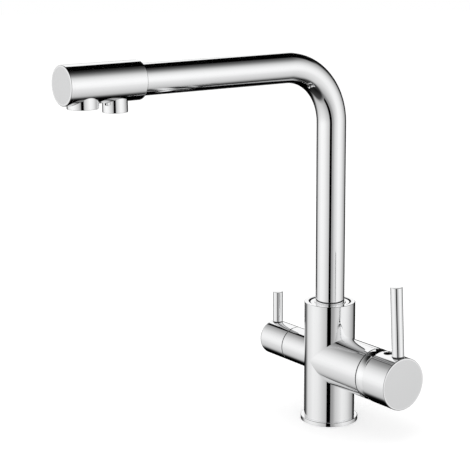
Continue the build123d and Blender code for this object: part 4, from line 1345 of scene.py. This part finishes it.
@dataclass
class FilterHandle:
    """The hub and the short lever of the filter valve."""

    radius: float = 15.9
    start: float = 49.0
    end: float = 83.5
    front_rounding: float = 3.0
    cavity_radius: float = 9.5
    cavity_floor: float = 54.5
    joint_width: float = 0.6
    joint_depth: float = 0.6
    joint_rounding: float = 0.12
    screw_place: float = 60.0
    screw_radius: float = 2.02
    screw_floor: float = 4.1
    screw_edge: float = 0.15
    screw_rows: tuple[float, float] = (56.5, 63.5)
    rod_rows: float = 70.3
    rod_edge: float = 0.12
    rod: LeverRod = LeverRod(
        "filter_lever",
        "filter_lever_rod",
        Body.FILTER_HANDLE,
        crest_line(place=-75.7, radius=15.9),
        radius=4.6,
        length=28.5,
        stud_radius=2.5,
    )

    def _hub(self) -> None:
        """Builds the hub with its rod seat on top and its screw hole underneath."""
        turns = np.radians(spread((-30, 30, 165, 195, 330), (20, 36, 8, 36)))[:-1]
        skin, rod = Skin(), self.rod
        joint_end, front = self.start + self.joint_width, self.end - self.front_rounding
        rear = joint_end + self.joint_rounding
        rows = spread((rear, *self.screw_rows, self.rod_rows, front), (1, 5, 3, 8))
        seat = Window(rod.line, rod.radius + FIT, (9, 17), (0, 20), self.rod_edge)
        under = AxisLine(-self.screw_place * X + BRANCH_HEIGHT * Z, -Z, X)
        screw = Window(under, self.screw_radius, (1, 6), (56, 64), self.screw_edge)
        outside = Belt(FILTER_LINE, self.radius, rows, turns)
        outside.build(skin, seat, screw)
        rod.seat(skin, outside, seat)
        outside.wall(skin, screw, self.screw_floor, floor=True)
        sunk = self.radius - self.joint_depth
        back = [
            (self.cavity_floor, 0.0),
            (self.cavity_floor, self.cavity_radius),
            (self.start, self.cavity_radius),
            (self.start, sunk),
            (joint_end, sunk),
            (joint_end, self.radius, self.joint_rounding),
            (rear + SPARE, self.radius),
        ]
        skin.turn(FILTER_LINE, back, turns, lead_out=True)
        face = [
            (front - SPARE, self.radius),
            (self.end, self.radius, self.front_rounding),
            (self.end, 0.0),
        ]
        skin.turn(FILTER_LINE, face, turns, lead_in=True)
        # painted shade on the hub's sunk joint step, next to the branch's end
        start = self.start - HAIR
        joint = Patch(JOINT_SHADOW, FILTER_LINE, start, joint_end + HAIR, outer=sunk + SPARE)
        skin.piece("filter_hub", Body.FILTER_HANDLE, "filter_handle_hub", joint)

    def build(self) -> None:
        """Builds the hub and the lever."""
        self._hub()
        self.rod.build()


@dataclass
class SwanNeck:
    """The spout's tube, swept by Geometry Nodes: a route with one bend, and a round section."""

    foot: float = 98.05
    reach: float = 205.9
    bend: float = 50.2
    radius: float = 12.7
    bore: float = 11.5
    bend_steps: int = 60
    section_steps: int = 96

    def _tree(self) -> bpy.types.NodeTree:
        """Builds the tree that sweeps the section along the route.

        Returns:
            The node tree, with named inputs for its sizes.
        """
        tree = bpy.data.node_groups.new("tube_sweep", "GeometryNodeTree")
        sockets = {"Geometry": "Geometry", "Bend radius": "Float", "Radius": "Float"}
        sockets |= {"Bend steps": "Int", "Section steps": "Int", "Finish": "Material"}
        for name, kind in sockets.items():
            tree.interface.new_socket(name, in_out="INPUT", socket_type="NodeSocket" + kind)
        tree.interface.new_socket("Geometry", in_out="OUTPUT", socket_type="NodeSocketGeometry")
        graph = Graph(tree)
        given = graph.node("NodeGroupInput").outputs

        sizes = {"Radius": given["Bend radius"], "Count": given["Bend steps"]}
        section = {"Radius": given["Radius"], "Resolution": given["Section steps"]}

        def step(kind: str, inputs: dict[str, Any], **settings: Any) -> bpy.types.NodeSocket:
            """Adds a geometry node and returns its first output."""
            return graph.node("GeometryNode" + kind, settings, inputs).outputs[0]

        route = step("MeshToCurve", {"Mesh": given["Geometry"]})
        route = step("FilletCurve", {"Curve": route, **sizes}, mode="POLY")
        circle = step("CurvePrimitiveCircle", section)
        sweep = step("CurveToMesh", {"Curve": route, "Profile Curve": circle})
        whole = step("RealizeInstances", {"Geometry": sweep})
        dressed = step("SetMaterial", {"Geometry": whole, "Material": given["Finish"]})
        graph.node("NodeGroupOutput", {}, {"Geometry": dressed})
        return tree

    def _slope(self, point: np.ndarray) -> np.ndarray:
        """Finds the direction in which the tube's surface faces at a point.

        Args:
            point: a place on the tube, in millimetres.

        Returns:
            The unit vector there, out of the tube's centre line.
        """
        corner = np.array([0.0, -self.bend, SPOUT_HEIGHT - self.bend])
        arm = (point - corner) * (Y + Z)
        if arm[2] <= 0:
            middle = point[2] * Z
        elif arm[1] <= 0:
            middle = point[1] * Y + SPOUT_HEIGHT * Z
        else:
            middle = corner + self.bend * arm / np.linalg.norm(arm)
        return (point - middle) / np.linalg.norm(point - middle)

    def build(self) -> None:
        """Builds the tube and lets it stand for its node."""
        route = bpy.data.meshes.new("swan_neck_route")
        corners = (self.foot * Z, SPOUT_HEIGHT * Z, SPOUT_HEIGHT * Z - self.reach * Y)
        route.from_pydata([(MM * corner).tolist() for corner in corners], [(0, 1), (1, 2)], [])
        maker = new_object("swan_neck_maker", route)
        modifier = maker.modifiers.new("sweep", "NODES")
        modifier.node_group = self._tree()
        wanted = {
            "Bend radius": self.bend * MM,
            "Radius": self.radius * MM,
            "Bend steps": self.bend_steps,
            "Section steps": self.section_steps,
            "Finish": POLISHED_CHROME.material(),
        }
        for item in modifier.node_group.interface.items_tree:
            if item.name in wanted:
                modifier[item.identifier] = wanted[item.name]
        wall = maker.modifiers.new("wall", "SOLIDIFY")
        wall.thickness = (self.radius - self.bore) * MM
        wall.offset = -1.0
        wall.use_even_offset = True
        evaluated = maker.evaluated_get(bpy.context.evaluated_depsgraph_get())
        mesh = bpy.data.meshes.new_from_object(evaluated)
        bpy.data.objects.remove(maker)
        mesh.name = "spout_swan_neck"
        self._face_outwards(mesh)
        stand_for(new_object(mesh.name, mesh), Body.SPOUT, "spout_tube")

    def _face_outwards(self, mesh: bpy.types.Mesh) -> None:
        """Turns the faces outwards and gives them the tube's exact slopes.

        Args:
            mesh: the swept tube.
        """
        with edited(mesh) as work:
            bmesh.ops.remove_doubles(work, verts=work.verts, dist=MERGE)
            bmesh.ops.recalc_face_normals(work, faces=work.faces)
        mesh.shade_smooth()
        slopes = []
        for polygon in mesh.polygons:
            facing = np.array(polygon.normal)
            for index in polygon.vertices:
                out = self._slope(np.array(mesh.vertices[index].co) / MM)
                along = float(facing @ out)
                slopes.append(out if along > 0.5 else -out if along < -0.5 else facing)
        mesh.normals_split_custom_set([tuple(slope) for slope in slopes])


@dataclass(frozen=True)
class Outlet:
    """A boss below the spout's head, with the bore of its aerator."""

    reach: float
    radius: float
    drop: float
    bore: float
    depth: float
    rows: tuple[int, int]
    rounding: float = 0.35
    bore_rounding: float = 0.3
    edge: float = 0.3

    def opening(self) -> Window:
        """Returns the boss's window in the head."""
        line = AxisLine(SPOUT_HEIGHT * Z - self.reach * Y, -Z, -Y)
        return Window(line, self.radius, self.rows, (0, 76), self.edge, rise=1.0)

    def build(self, skin: Skin, belt: Belt, window: Window) -> None:
        """Adds the boss with its bore.

        Args:
            skin: the head's skin.
            belt: the head's outside.
            window: the boss's window in it.
        """
        end, floor = self.drop - self.rounding, self.drop - self.depth
        belt.wall(skin, window, end)
        corners = [
            (end - SPARE, self.radius),
            (self.drop, self.radius, self.rounding),
            (self.drop, self.bore, self.bore_rounding),
            (floor, self.bore),
            (floor, 0.0),
        ]
        skin.turn(window.line, corners, window.turns, lead_in=True)


@dataclass
class SpoutHead:
    """The spout's head with its two outlets, the cap that closes it, and the tube's collar."""

    filter_outlet: Outlet = Outlet(
        reach=215.7, radius=9.9, drop=23.4, bore=8.5, depth=6.6, rows=(1, 17)
    )
    main_outlet: Outlet = Outlet(
        reach=244.0, radius=12.3, drop=18.6, bore=11.0, depth=5.3, rows=(17, 33)
    )
    radius: float = 15.6
    start: float = 193.9
    end: float = 258.8
    rear_rounding: float = 1.6
    bore_rounding: float = 0.25
    tube_bore: float = 12.72
    tube_end: float = 205.9
    cavity: float = 12.0
    joint_rounding: float = 0.03
    window_rows: tuple[float, float, float] = (199.0, 229.25, 258.5)
    plug_start: float = 253.8
    plug_radius: float = 11.98
    plug_rounding: float = 0.3
    groove_start: float = 255.65
    groove_end: float = 256.95
    groove_radius: float = 10.96
    cap_end: float = 261.8
    cap_rounding: float = 0.8
    bright_ring: float = 0.7
    collar_radius: float = 17.3
    collar_bottom: float = 105.55
    collar_edge: float = 0.2
    collar_top: float = 108.6
    collar_bore: float = 12.72
    collar_step: float = 108.05
    collar_rounding: float = 0.25
    lip_radius: float = 14.0
    lip_rounding: float = 0.3
    lip_edge: float = 0.1
    side_margin: float = 0.1

    def _head(self) -> None:
        """Builds the head."""
        turns = np.radians(spread((-76, 76, 284), (76, 83)))[:-1]
        rear, front = self.start + self.rear_rounding, self.end - self.joint_rounding
        rows = spread((rear, *self.window_rows, front), (1, 16, 16, 1))
        skin = Skin()
        belt = Belt(SPOUT_LINE, self.radius, rows, turns, rings=7)
        outlets = (self.filter_outlet, self.main_outlet)
        windows = [outlet.opening() for outlet in outlets]
        belt.build(skin, *windows)
        for outlet, window in zip(outlets, windows):
            outlet.build(skin, belt, window)
        bore_start = self.start + self.bore_rounding
        back = [
            (bore_start + SPARE, self.tube_bore),
            (self.start, self.tube_bore, self.bore_rounding),
            (self.start, self.radius, self.rear_rounding),
            (rear + SPARE, self.radius),
        ]
        skin.turn(SPOUT_LINE, back, turns, lead_in=True, lead_out=True)
        inside = [
            (front - SPARE, self.radius),
            (self.end, self.radius, self.joint_rounding),
            (self.end, self.cavity),
            (self.tube_end, self.cavity),
            (self.tube_end, self.tube_bore),
            (bore_start, self.tube_bore),
        ]
        skin.turn(SPOUT_LINE, inside, turns, lead_in=True)
        skin.piece("spout_outlet_head", Body.SPOUT, "spout_head")

    def _cap(self) -> None:
        """Builds the cap, with its plug and the groove of its seal."""
        faced = self.radius - self.cap_rounding - self.bright_ring
        corners = [
            (self.plug_start, 0.0),
            (self.plug_start, self.plug_radius, self.plug_rounding),
            (self.groove_start, self.plug_radius),
            (self.groove_start, self.groove_radius),
            (self.groove_end, self.groove_radius),
            (self.groove_end, self.plug_radius),
            (self.end, self.plug_radius),
            (self.end, self.radius, self.joint_rounding),
            (self.cap_end, self.radius, self.cap_rounding),
            (self.cap_end, faced),
            (self.cap_end, 0.0),
        ]
        front_face = Patch.flat(FACED_CHROME, SPOUT_LINE, self.cap_end, outer=faced)
        names = ("spout_front_cap", Body.SPOUT, "spout_end_cap")
        turned_piece(names, SPOUT_LINE, corners, 160, front_face)

    def _collar(self) -> None:
        """Builds the collar round the tube's foot."""
        corners = [
            (self.collar_bottom, self.collar_bore),
            (self.collar_bottom, self.collar_radius, self.collar_edge),
            (self.collar_step, self.collar_radius, self.collar_rounding),
            (self.collar_step, self.lip_radius),
            (self.collar_top, self.lip_radius, self.lip_rounding),
            (self.collar_top, self.collar_bore, self.lip_edge),
        ]
        # painted shade on the collar's side, in the gap inside the column's rim
        low, high = self.collar_bottom, self.collar_step - self.collar_rounding
        side = Patch(JOINT_SHADOW, COLUMN, low, high, inner=self.collar_radius - self.side_margin)
        names = ("spout_foot_collar", Body.SPOUT, "spout_collar")
        turned_piece(names, COLUMN, corners, 144, side, closed=True)

    def build(self) -> None:
        """Builds the head, its cap and the collar."""
        self._head()
        self._cap()
        self._collar()


@dataclass
class InnerWorks:
    """The nodes whose own shape is right: cartridge, valve, seals, screws and water line."""

    def build(self) -> None:
        """Gives every shown frame node its finish."""
        slots = {part["node"]: Slot(part["material_slot"]) for part in frame["record"]["subparts"]}
        for name, node in frame["nodes"].items():
            material = FINISHES[slots[name]].material()
            node.data.materials.clear()
            node.data.materials.append(material)
            if not node.hide_render:
                LOG.info("%s: frame node in %s", name, material.name)


# --- Studio -------------------------------------------------------------------------------
@dataclass(frozen=True)
class Screen:
    """A soft edged screen of the studio, dark or light, with its place and size in degrees."""

    heading: float
    half_width: float
    soft_width: float
    level: float
    rise: float
    half_height: float
    soft_height: float

    def mask(self, heading: Value, rise: Value) -> Value:
        """Builds the screen's outline.

        Args:
            heading: of the mirrored ray, in degrees.
            rise: of the mirrored ray, in degrees.

        Returns:
            1 on the screen and 0 beside it.
        """
        off = abs((heading - self.heading).wrapped(-180.0, 180.0))
        lift = abs(rise - self.rise)
        across = off.fade(self.half_width, self.half_width + self.soft_width)
        return across * lift.fade(self.half_height, self.half_height + self.soft_height)


@dataclass(frozen=True)
class NearScreen:
    """A tall dark screen, in metres, that the chrome mirrors and the camera doesn't see."""

    place: Triple = (0.86, -0.79, 0.0)
    core: float = 0.165
    edge: float = 0.20
    half_width: float = 0.21
    half_height: float = 1.2

    def build(self) -> None:
        """Builds the screen, which faces the tap."""
        mesh = bpy.data.meshes.new("near_screen")
        wide, high = self.half_width, self.half_height
        corners = [(-wide, 0, -high), (wide, 0, -high), (wide, 0, high), (-wide, 0, high)]
        mesh.from_pydata(corners, [], [(0, 1, 2, 3)])
        screen = new_object("near_screen", mesh)
        screen.location = self.place
        screen.rotation_euler.z = math.atan2(self.place[1], self.place[0]) + RIGHT_ANGLE
        for ray in ("camera", "diffuse", "shadow", "transmission", "volume_scatter"):
            setattr(screen, "visible_" + ray, False)
        material, graph = new_material("near_screen")
        place = graph.value("ShaderNodeTexCoord", output="Object")
        across = graph.value("ShaderNodeSeparateXYZ", {}, {0: place})
        clear = graph.node("ShaderNodeBsdfTransparent")
        graph.show(graph.mix(abs(across).fade(self.core, self.edge), clear, graph.glow(0.0)))
        mesh.materials.append(material)


@dataclass
class Studio:
    """Camera, floor, lamps, and the white walls and screens that the chrome mirrors.

    The camera's place is in millimetres. The floor and the lamps are in metres.
    """

    place: Triple = (930.7, -770.0, 435.05)
    heading: float = 144.37
    pitch: float = 12.45
    roll: float = -0.38
    focal_pixels: float = 1407.9
    frame_pixels: float = 470.0
    sensor: float = 36.0
    clip: tuple[float, float] = (0.05, 50.0)
    floor_radius: float = 6.0
    floor_sink: float = 0.0002
    floor_colours: tuple[Triple, Triple] = ((0.86, 0.86, 0.86), (0.88, 0.88, 0.88))
    floor_mottle: float = 3.0
    floor_glow: float = 0.3
    lamps: tuple[tuple[str, Triple, float, float], ...] = (
        ("key", (0.6, -1.2, 1.9), 9.0, 1.6),
        ("fill", (1.3, 0.9, 1.4), 4.0, 1.4),
    )  # name, place, energy and size
    lamp_aim: Triple = (0.0, -0.08, 0.12)
    soft_level: float = 0.85
    wall_level: float = 1.05
    display_power: float = 2.2
    # place in degrees and level of the walls, round the tap and from the floor to the ceiling
    round_stops: tuple[tuple[float, float], ...] = (
        (0.0, 0.91), (8.0, 0.95), (20.0, 1.0), (36.0, 0.98), (48.0, 0.94), (58.0, 0.895),
        (72.0, 0.79), (86.0, 0.70), (94.0, 0.50), (104.0, 0.12), (140.0, 0.10), (150.0, 0.25),
        (160.0, 0.45), (170.0, 0.70), (182.0, 0.82), (210.0, 0.93), (222.0, 0.96), (240.0, 1.01),
        (264.0, 0.99), (276.0, 0.95), (290.0, 0.88), (300.0, 0.83), (308.0, 0.74), (314.0, 0.65),
        (334.0, 0.65), (340.0, 0.73), (348.0, 0.85), (360.0, 0.91),
    )
    rise_stops: tuple[tuple[float, float], ...] = (
        (-80.0, 0.16), (-63.0, 0.28), (-56.0, 0.68), (-50.0, 0.80), (-36.0, 0.86), (-20.0, 0.915),
        (-12.0, 0.965), (0.0, 1.0), (12.0, 0.99), (20.0, 0.955), (28.0, 0.905), (36.0, 0.81),
        (44.0, 0.63), (52.0, 0.43), (60.0, 0.2), (70.0, 0.05),
    )
    # each screen: heading, half and soft width, level, rise, half and soft height
    dark_screens: tuple[Screen, ...] = (
        Screen(118.0, 24.0, 12.0, 0.10, 62.0, 28.0, 8.0),
        Screen(175.5, 5.0, 4.0, 0.13, 44.0, 9.0, 7.0),
        Screen(128.0, 34.0, 42.0, 0.17, -52.0, 14.0, 8.0),
        Screen(162.0, 12.0, 24.0, 0.22, -42.0, 8.0, 8.0),
        Screen(158.0, 12.0, 38.0, 0.24, -16.0, 12.0, 14.0),
    )
    light_screens: tuple[Screen, ...] = (
        Screen(154.0, 15.0, 1.5, 0.98, 24.5, 16.5, 3.0),
        Screen(140.0, 4.0, 2.0, 0.98, 8.5, 5.5, 3.0),
        Screen(139.0, 3.0, 3.0, 0.30, -28.0, 4.0, 3.0),
    )

    def _camera(self) -> None:
        """Stands the camera where the photograph was taken from."""
        heading, pitch, roll = map(math.radians, (self.heading, self.pitch, self.roll))
        level = math.cos(pitch)
        forward = Vector((math.cos(heading) * level, math.sin(heading) * level, -math.sin(pitch)))
        right = forward.cross(Vector((0, 0, 1))).normalized()
        upward = right.cross(forward)
        rolled_right = math.cos(roll) * right + math.sin(roll) * upward
        rolled_up = math.cos(roll) * upward - math.sin(roll) * right
        data = bpy.data.cameras.new("camera")
        data.sensor_width = self.sensor
        data.lens = self.focal_pixels / self.frame_pixels * self.sensor
        data.clip_start, data.clip_end = self.clip
        camera = new_object("camera", data)
        matrix = Matrix((rolled_right, rolled_up, -forward)).transposed().to_4x4()
        matrix.translation = Vector(self.place) * MM
        camera.matrix_world = matrix
        bpy.context.scene.camera = camera

    def _walls(self, graph: Graph) -> Value:
        """Adds the brightness that a mirrored ray meets.

        Args:
            graph: the world's graph.

        Returns:
            The linear level.
        """
        way = graph.value("ShaderNodeTexCoord", output="Generated")
        parts = graph.node("ShaderNodeSeparateXYZ", {}, {0: way}).outputs
        east, north, up = (Value(graph, part) for part in parts)
        heading = north.heading(east) * math.degrees(1.0)
        rise = up.rise() * math.degrees(1.0)
        turned = [(place / 360.0, level) for place, level in self.round_stops]
        tilted = [(0.5 + place / 180.0, level) for place, level in self.rise_stops]
        round_place = heading.wrapped(0.0, 360.0) * (1.0 / 360.0)
        rise_place = rise * (1.0 / 180.0) + 0.5
        level = graph.value("ShaderNodeValToRGB", {"stops": turned}, {0: round_place})
        level = level * graph.value("ShaderNodeValToRGB", {"stops": tilted}, {0: rise_place})
        for screen in self.dark_screens:
            level = level * (1.0 - screen.mask(heading, rise) * (1.0 - screen.level))
        for screen in self.light_screens:
            level = level.most(screen.mask(heading, rise) * screen.level)
        return level**self.display_power * self.wall_level

    def _world(self) -> None:
        """Builds the world: white to the camera, the studio to mirrors, and plain soft light."""
        world = bpy.data.worlds.new("studio")
        bpy.context.scene.world = world
        world.use_nodes = True
        graph = Graph(world.node_tree)
        rays = graph.node("ShaderNodeLightPath").outputs
        mirrored, soft, white = (
            graph.node("ShaderNodeBackground", {}, {"Color": (1.0,) * 4, "Strength": strength})
            for strength in (self._walls(graph), self.soft_level, 1.0)
        )
        lit = graph.mix(rays["Is Glossy Ray"], soft, mirrored)
        graph.show(graph.mix(rays["Is Camera Ray"], lit, white), "World")

    def _floor(self) -> None:
        """Builds the pale floor, which keeps the tap's soft shadow."""
        mesh = bpy.data.meshes.new("floor")
        with edited(mesh) as work:
            bmesh.ops.create_circle(work, cap_ends=True, segments=96, radius=self.floor_radius)
        floor = new_object("floor", mesh)
        floor.location.z = -self.floor_sink
        floor.visible_glossy = False
        material, graph = new_material("pale_floor")
        place = graph.value("ShaderNodeTexCoord", output="Object")
        tone = graph.blend(graph.noise(place, self.floor_mottle), *self.floor_colours)
        diffuse = graph.node("ShaderNodeBsdfDiffuse", {}, {"Color": tone})
        rays = graph.node("ShaderNodeLightPath").outputs
        seen = graph.mix(rays["Is Camera Ray"], graph.glow(0.0), graph.glow(self.floor_glow))
        inputs = {0: diffuse.outputs[0], 1: seen.outputs[0]}
        graph.show(graph.node("ShaderNodeAddShader", {}, inputs))
        mesh.materials.append(material)

    def _lamps(self) -> None:
        """Hangs two large soft lamps, which the chrome doesn't mirror."""
        for name, place, energy, size in self.lamps:
            data = bpy.data.lights.new(name, "AREA")
            data.energy, data.size = energy, size
            lamp = new_object(name, data)
            lamp.location = place
            aim = Vector(self.lamp_aim) - lamp.location
            lamp.rotation_euler = aim.to_track_quat("-Z", "Y").to_euler()
            lamp.visible_glossy = False

    def build(self) -> None:
        """Builds the studio."""
        bpy.context.scene.view_settings.view_transform = "Standard"
        self._camera()
        self._world()
        self._floor()
        self._lamps()
        NearScreen().build()
        count = 1 + len(self.dark_screens) + len(self.light_screens)
        LOG.info("studio: camera, floor, two lamps and %d screens", count)


def main() -> None:
    logging.basicConfig(level=logging.INFO, format="%(name)s: %(message)s")
    for part in (Studio, TapBody, MixerHandle, FilterHandle, SwanNeck, SpoutHead, InnerWorks):
        part().build()


if __name__ == "__main__":
    main()
